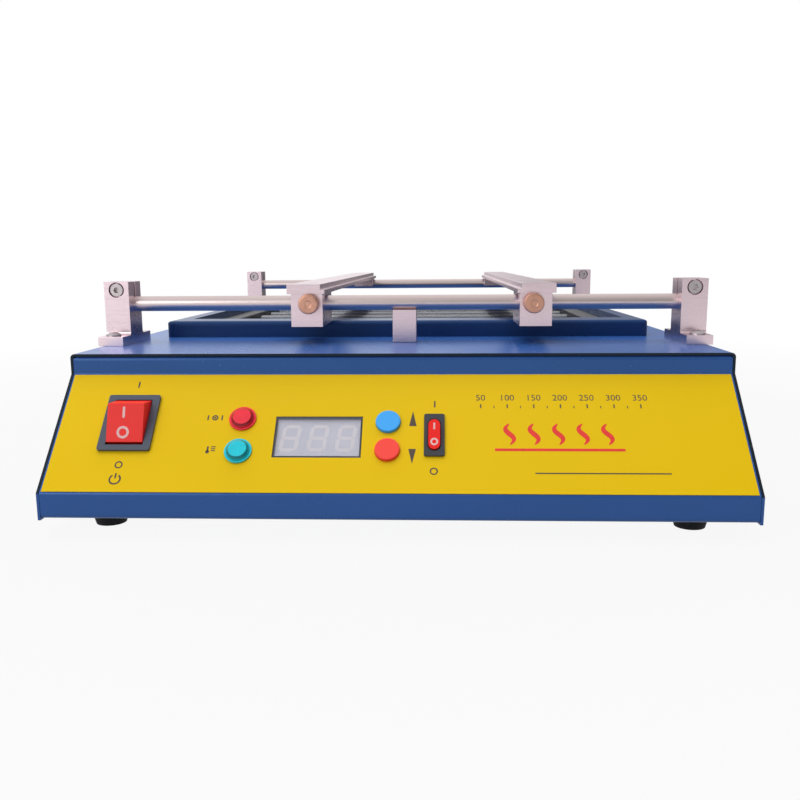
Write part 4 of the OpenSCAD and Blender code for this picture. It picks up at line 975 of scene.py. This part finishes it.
def thumbscrew(centre, low, back, high, disc, shank, count, depth):
    """A turned screw: a profile of radius against distance carried round the Y axis, with flat
    ends. Where the rim is full, its radius follows a row of ridges, one cosine wave for each."""
    rim, neck = disc / 2, shank / 2
    dish, corner, tip = 0.12 * MM, 0.5 * MM, 0.4 * MM
    profile = np.array((
        (0.30 * rim, low + dish), (0.36 * rim, low), (0.80 * rim, low),
        (0.90 * rim, low + 0.12 * corner), (0.97 * rim, low + 0.5 * corner), (rim, low + corner),
        (rim, back - corner), (0.97 * rim, back - 0.4 * corner), (0.88 * rim, back),
        (neck, back), (neck, high - tip), (neck - tip, high),
    ))
    steps_per_ridge, ridged_from = 6, 0.93
    steps = steps_per_ridge * count
    angle = np.linspace(0, 2 * math.pi, steps, endpoint=False)
    full = np.clip((profile[:, 0] / rim - ridged_from) / (1 - ridged_from), 0, 1)
    ridge = depth * (0.5 - 0.5 * np.cos(count * angle))
    radius = profile[:, :1] - full[:, None] * ridge[None, :]
    rings = np.stack((
        centre[0] + radius * np.cos(angle),
        np.broadcast_to(profile[:, 1:], radius.shape),
        centre[2] + radius * np.sin(angle),
    ), -1)
    return capped(rings[:, ::-1])


class PREHEATER_OT_thumbscrews(bpy.types.Operator):
    """Makes the two knurled thumbscrews"""

    bl_idname = "preheater.thumbscrews"
    bl_label = "Thumbscrews"

    def execute(self, context):
        sizes = context.scene.preheater_sizes
        copper = context.scene.preheater_colours.copper
        gap, shank = 0.4 * MM, 4 * MM
        for side in ("left", "right"):
            node = f"{side}_thumbscrew"
            low, high = box_of(node)
            centre = (low + high) / 2
            back = box_of(f"{side}_arm_slider")[0][1] - gap
            FINISHES[node] = turned_metal(node, copper, tuple(centre))
            points, faces = thumbscrew(
                centre, low[1], back, high[1], high[0] - low[0], shank,
                sizes.knurls, sizes.knurl_depth,
            )
            made = piece(node + "_knurled", points, faces, f"{side}_knob", node,
                         record_slot="copper_alloy")
            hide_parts(node)
        return {"FINISHED"}


# Heater


def wound_coil(centre, reach, lead, radius, wire, pitch):
    """A heating coil: a circle of wire carried along a helix about X, square to it, with a straight
    lead at each end. Along the lead the helix's radius falls smoothly to nothing, so that the wire
    ends on the axis."""
    points_per_turn, wire_sides = 14, 6
    turns = 2 * reach / pitch
    x = lead * np.linspace(-1, 1, int(turns * points_per_turn))
    share = np.clip((lead - np.abs(x)) / (lead - reach), 0, 1)
    share = share * share * (3 - 2 * share)
    angle = 2 * math.pi * np.clip(x, -reach, reach) / pitch
    r = (radius - wire / 2) * np.where(np.abs(x) < reach, 1.0, np.clip(2 * share - 1, 0, 1))
    path = np.column_stack((x, r * np.cos(angle), r * np.sin(angle))) + centre
    along = np.gradient(path, axis=0)
    along /= np.linalg.norm(along, axis=1, keepdims=True)
    out = np.column_stack((np.zeros_like(x), np.cos(angle), np.sin(angle)))
    out -= along * (out * along).sum(1, keepdims=True)
    out /= np.linalg.norm(out, axis=1, keepdims=True)
    side = np.cross(along, out)
    turn = circle(wire / 2, wire_sides)
    return capped(path[:, None] + out[:, None] * turn[:, :1] + side[:, None] * turn[:, 1:])


class PREHEATER_OT_heater(bpy.types.Operator):
    """Finishes the heater's pan, tubes and reflector, and winds its coils"""

    bl_idname = "preheater.heater"
    bl_label = "Heater"

    def execute(self, context):
        sizes = context.scene.preheater_sizes
        low, high = box_of("heater_coils")
        tubes = np.sort(array(NODES["ir_tubes"].data.vertices, "co", 3)[:, 1])
        tube_low, tube_high = box_of("ir_tubes")
        tube_d = tube_high[2] - tube_low[2]
        count = 1 + np.count_nonzero(np.diff(tubes) > tube_d)
        coil_r, coil_z = (high[2] - low[2]) / 2, (low[2] + high[2]) / 2
        lead = 18 * MM
        points, faces = joined([
            wound_coil(np.array((0, y, coil_z)), high[0] - lead, high[0], coil_r,
                       sizes.coil_wire, sizes.coil_pitch)
            for y in np.linspace(tubes[0] + tube_d / 2, tubes[-1] - tube_d / 2, count)
        ])
        made = piece("heater_coils_wound", points, faces, "housing", "coil_wire", smooth=True)
        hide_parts("heater_coils")
        dress("pan_metal", "heater_pan", "tube_rail_left", "tube_rail_right")
        dress("reflector_metal", "reflector")
        dress("quartz", "ir_tubes")
        dress("white_ceramic", "tube_end_caps", "terminal_block")
        dress("fibre_board", "insulation_board")
        dress("bright_screw", "thermocouple")
        return {"FINISHED"}


# Solids that keep their shape


class PREHEATER_OT_housing(bpy.types.Operator):
    """Paints the housing and finishes its label, feet and screws"""

    bl_idname = "preheater.housing"
    bl_label = "Housing"

    def execute(self, context):
        dress("blue_paint", "chassis")
        dress("frame_paint", "heater_frame")
        dress("cover_paint", "cover")
        dress("yellow_film", "front_label")
        dress("dark_screw", "frame_screws")
        dress("bright_screw", "foot_screws", "cover_screws")
        feet = [f"foot_{end}_{side}" for end in ("front", "rear") for side in ("left", "right")]
        dress("black_rubber", *feet)
        return {"FINISHED"}


class PREHEATER_OT_controls(bpy.types.Operator):
    """Finishes the switches, lamps and buttons"""

    bl_idname = "preheater.controls"
    bl_label = "Controls"

    def execute(self, context):
        edge = context.scene.preheater_sizes.rocker_edge
        broken_edges("power_rocker", "power_key", "red_plastic", edge)
        broken_edges("heater_rocker", "heater_key", "red_plastic", edge)
        dress("black_gloss", "power_switch_body")
        dress("black_plastic", "heater_switch_body", "button_switches")
        dress("red_lens", "set_lamp")
        dress("cyan_lens", "current_lamp")
        dress("blue_cap", "up_button")
        dress("red_cap", "down_button")
        return {"FINISHED"}


class PREHEATER_OT_electronics(bpy.types.Operator):
    """Finishes the boards, the mains parts and the inlet"""

    bl_idname = "preheater.electronics"
    bl_label = "Electronics"

    def execute(self, context):
        dress("green_board", "control_board", "power_board")
        dress("bright_screw", "board_standoffs", "line_fuse")
        dress("core_steel", "transformer")
        dress("bright_aluminium", "heatsink")
        dress("black_plastic", "triac", "inlet_socket")
        dress("contact_brass", "inlet_pins")
        return {"FINISHED"}


# Stage


def floor_material():
    """A pale floor that shows a soft shadow: the eye sees it mostly as plain white, and wholly so
    at a distance. Mirrors see it white in front of the object and dark behind it."""
    f = Finish("stage_floor", roughness=0.9, base_color=(0.28, 0.28, 0.28, 1.0))
    eye = f.rays("Is Camera Ray", "Is Transmission Ray")
    spot = f.place()
    mirrored = f.ramp(f.axis(spot, "Y"), -0.3, 0.1, first=1.0, last=0.12)
    level = f.math("MAXIMUM", eye, mirrored)
    white = f.node("ShaderNodeEmission", {}, {"Color": level, "Strength": 1.0})
    away = f.vector("LENGTH", spot, output="Value")
    seen = f.math("MAXIMUM", eye, f.rays("Is Glossy Ray"))
    share = seen * f.ramp(away, 0.3, 0.8, first=0.92, last=1.0)
    f.link(f.surface, f.node("ShaderNodeMixShader", {}, {0: share, 1: f.shader, 2: white}))
    return f.material


def sky_shader(world, level, bright_side):
    """A white room that is dimmer in front and to the right, with a dark card low down behind on
    the right. The eye sees it as plain white, mirrors see it as it is, and it lights the object at
    a level."""
    w = Shader(world, "ShaderNodeOutputWorld")
    way = w.node("ShaderNodeTexCoord", {}, {}, "Generated")
    x, y, z = (w.axis(way, name) for name in "XYZ")
    card = w.ramp(x, 0.0, 0.12) * w.ramp(y, 0.2, 0.6) * w.ramp(z, 0.4, 0.15)
    mean = 0.66
    room = w.ramp(mean + w.vector("DOT_PRODUCT", way, bright_side, "Value"), 0.0, 1.0)
    room = room * w.ramp(card, 0.0, 1.0, first=1.0, last=0.3)
    mirror = w.rays("Is Glossy Ray", "Is Transmission Ray")
    share = w.ramp(mirror, 0.0, 1.0, first=level, last=1.0)
    strength = w.math("MAXIMUM", w.rays("Is Camera Ray"), room * share)
    sky = w.node("ShaderNodeBackground", {}, {"Color": (1, 1, 1), "Strength": strength})
    w.link(w.surface, sky)


LAMPS = {
    "key": {"place": (-1.0, -1.6, 0.75), "size": 0.9, "mirrored": True},
    "top": {"place": (-0.2, 0.1, 1.6), "size": 2.0, "mirrored": False},
}


def area_lamp(name, place, target, size, power, mirrored):
    """A square lamp that looks at a target. Mirrors may see it or not."""
    data = bpy.data.lights.new(name, "AREA")
    data.size, data.energy = size, power
    lamp = shown(name, data)
    lamp.location = place
    lamp.visible_glossy = mirrored
    lamp.rotation_euler = (Vector(target) - Vector(place)).to_track_quat("-Z", "Y").to_euler()


class PREHEATER_OT_stage(bpy.types.Operator):
    """Sets the camera, the pale floor and the soft light"""

    bl_idname = "preheater.stage"
    bl_label = "Stage"

    def execute(self, context):
        stage = context.scene.preheater_stage
        context.scene.view_settings.view_transform = "Standard"
        data = bpy.data.cameras.new("camera")
        data.sensor_width, data.lens = SENSOR_MM, stage.lens
        data.clip_start, data.clip_end = 0.01, 50
        camera = shown("camera", data)
        context.scene.camera = camera
        place = Matrix.Translation(stage.camera)
        for angle, axis in ((stage.yaw, "Z"), (math.pi / 2 - stage.pitch, "X"), (stage.roll, "Z")):
            place = place @ Matrix.Rotation(angle, 4, axis)
        camera.matrix_world = place

        half = 6.0
        corners = [(-half, -half, 0), (half, -half, 0), (half, half, 0), (-half, half, 0)]
        mesh = bpy.data.meshes.new("stage_floor")
        mesh.from_pydata(corners, [], [(0, 1, 2, 3)])
        mesh.materials.append(floor_material())
        floor = shown("stage_floor", mesh)

        context.scene.world = bpy.data.worlds.new("stage_sky")
        sky_shader(context.scene.world, stage.sky, tuple(stage.bright_side))

        middle = (CAD_BOX[0] + CAD_BOX[1]) / 2
        for name, lamp in LAMPS.items():
            area_lamp(name, target=middle, power=getattr(stage, name), **lamp)
        return {"FINISHED"}


OPERATORS = (
    PREHEATER_OT_stage,
    PREHEATER_OT_housing,
    PREHEATER_OT_controls,
    PREHEATER_OT_electronics,
    PREHEATER_OT_clamp,
    PREHEATER_OT_thumbscrews,
    PREHEATER_OT_heater,
    PREHEATER_OT_signs,
    PREHEATER_OT_rocker_signs,
    PREHEATER_OT_display,
)


class PREHEATER_PT_sidebar(bpy.types.Panel):
    """Lists the preheater's settings and makers"""

    bl_idname = "PREHEATER_PT_sidebar"
    bl_label = "Preheater"
    bl_space_type = "VIEW_3D"
    bl_region_type = "UI"
    bl_category = "Preheater"

    def draw(self, context):
        for key, group in GROUPS.items():
            box = self.layout.box()
            for name in group.__annotations__:
                box.prop(getattr(context.scene, key), name)
        for maker in OPERATORS:
            self.layout.operator(maker.bl_idname)


GROUPS = {
    "preheater_colours": PreheaterColours,
    "preheater_sizes": PreheaterSizes,
    "preheater_stage": PreheaterStage,
}


def register():
    for made in (*GROUPS.values(), *OPERATORS, PREHEATER_PT_sidebar):
        bpy.utils.register_class(made)
    for name, group in GROUPS.items():
        setattr(bpy.types.Scene, name, PointerProperty(type=group))


def unregister():
    for name in GROUPS:
        delattr(bpy.types.Scene, name)
    for made in (PREHEATER_PT_sidebar, *OPERATORS[::-1], *GROUPS.values()):
        bpy.utils.unregister_class(made)


def main():
    """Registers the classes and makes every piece."""
    register()
    for maker in OPERATORS:
        group, name = maker.bl_idname.split(".")
        getattr(getattr(bpy.ops, group), name)()


if __name__ == "__main__":
    main()
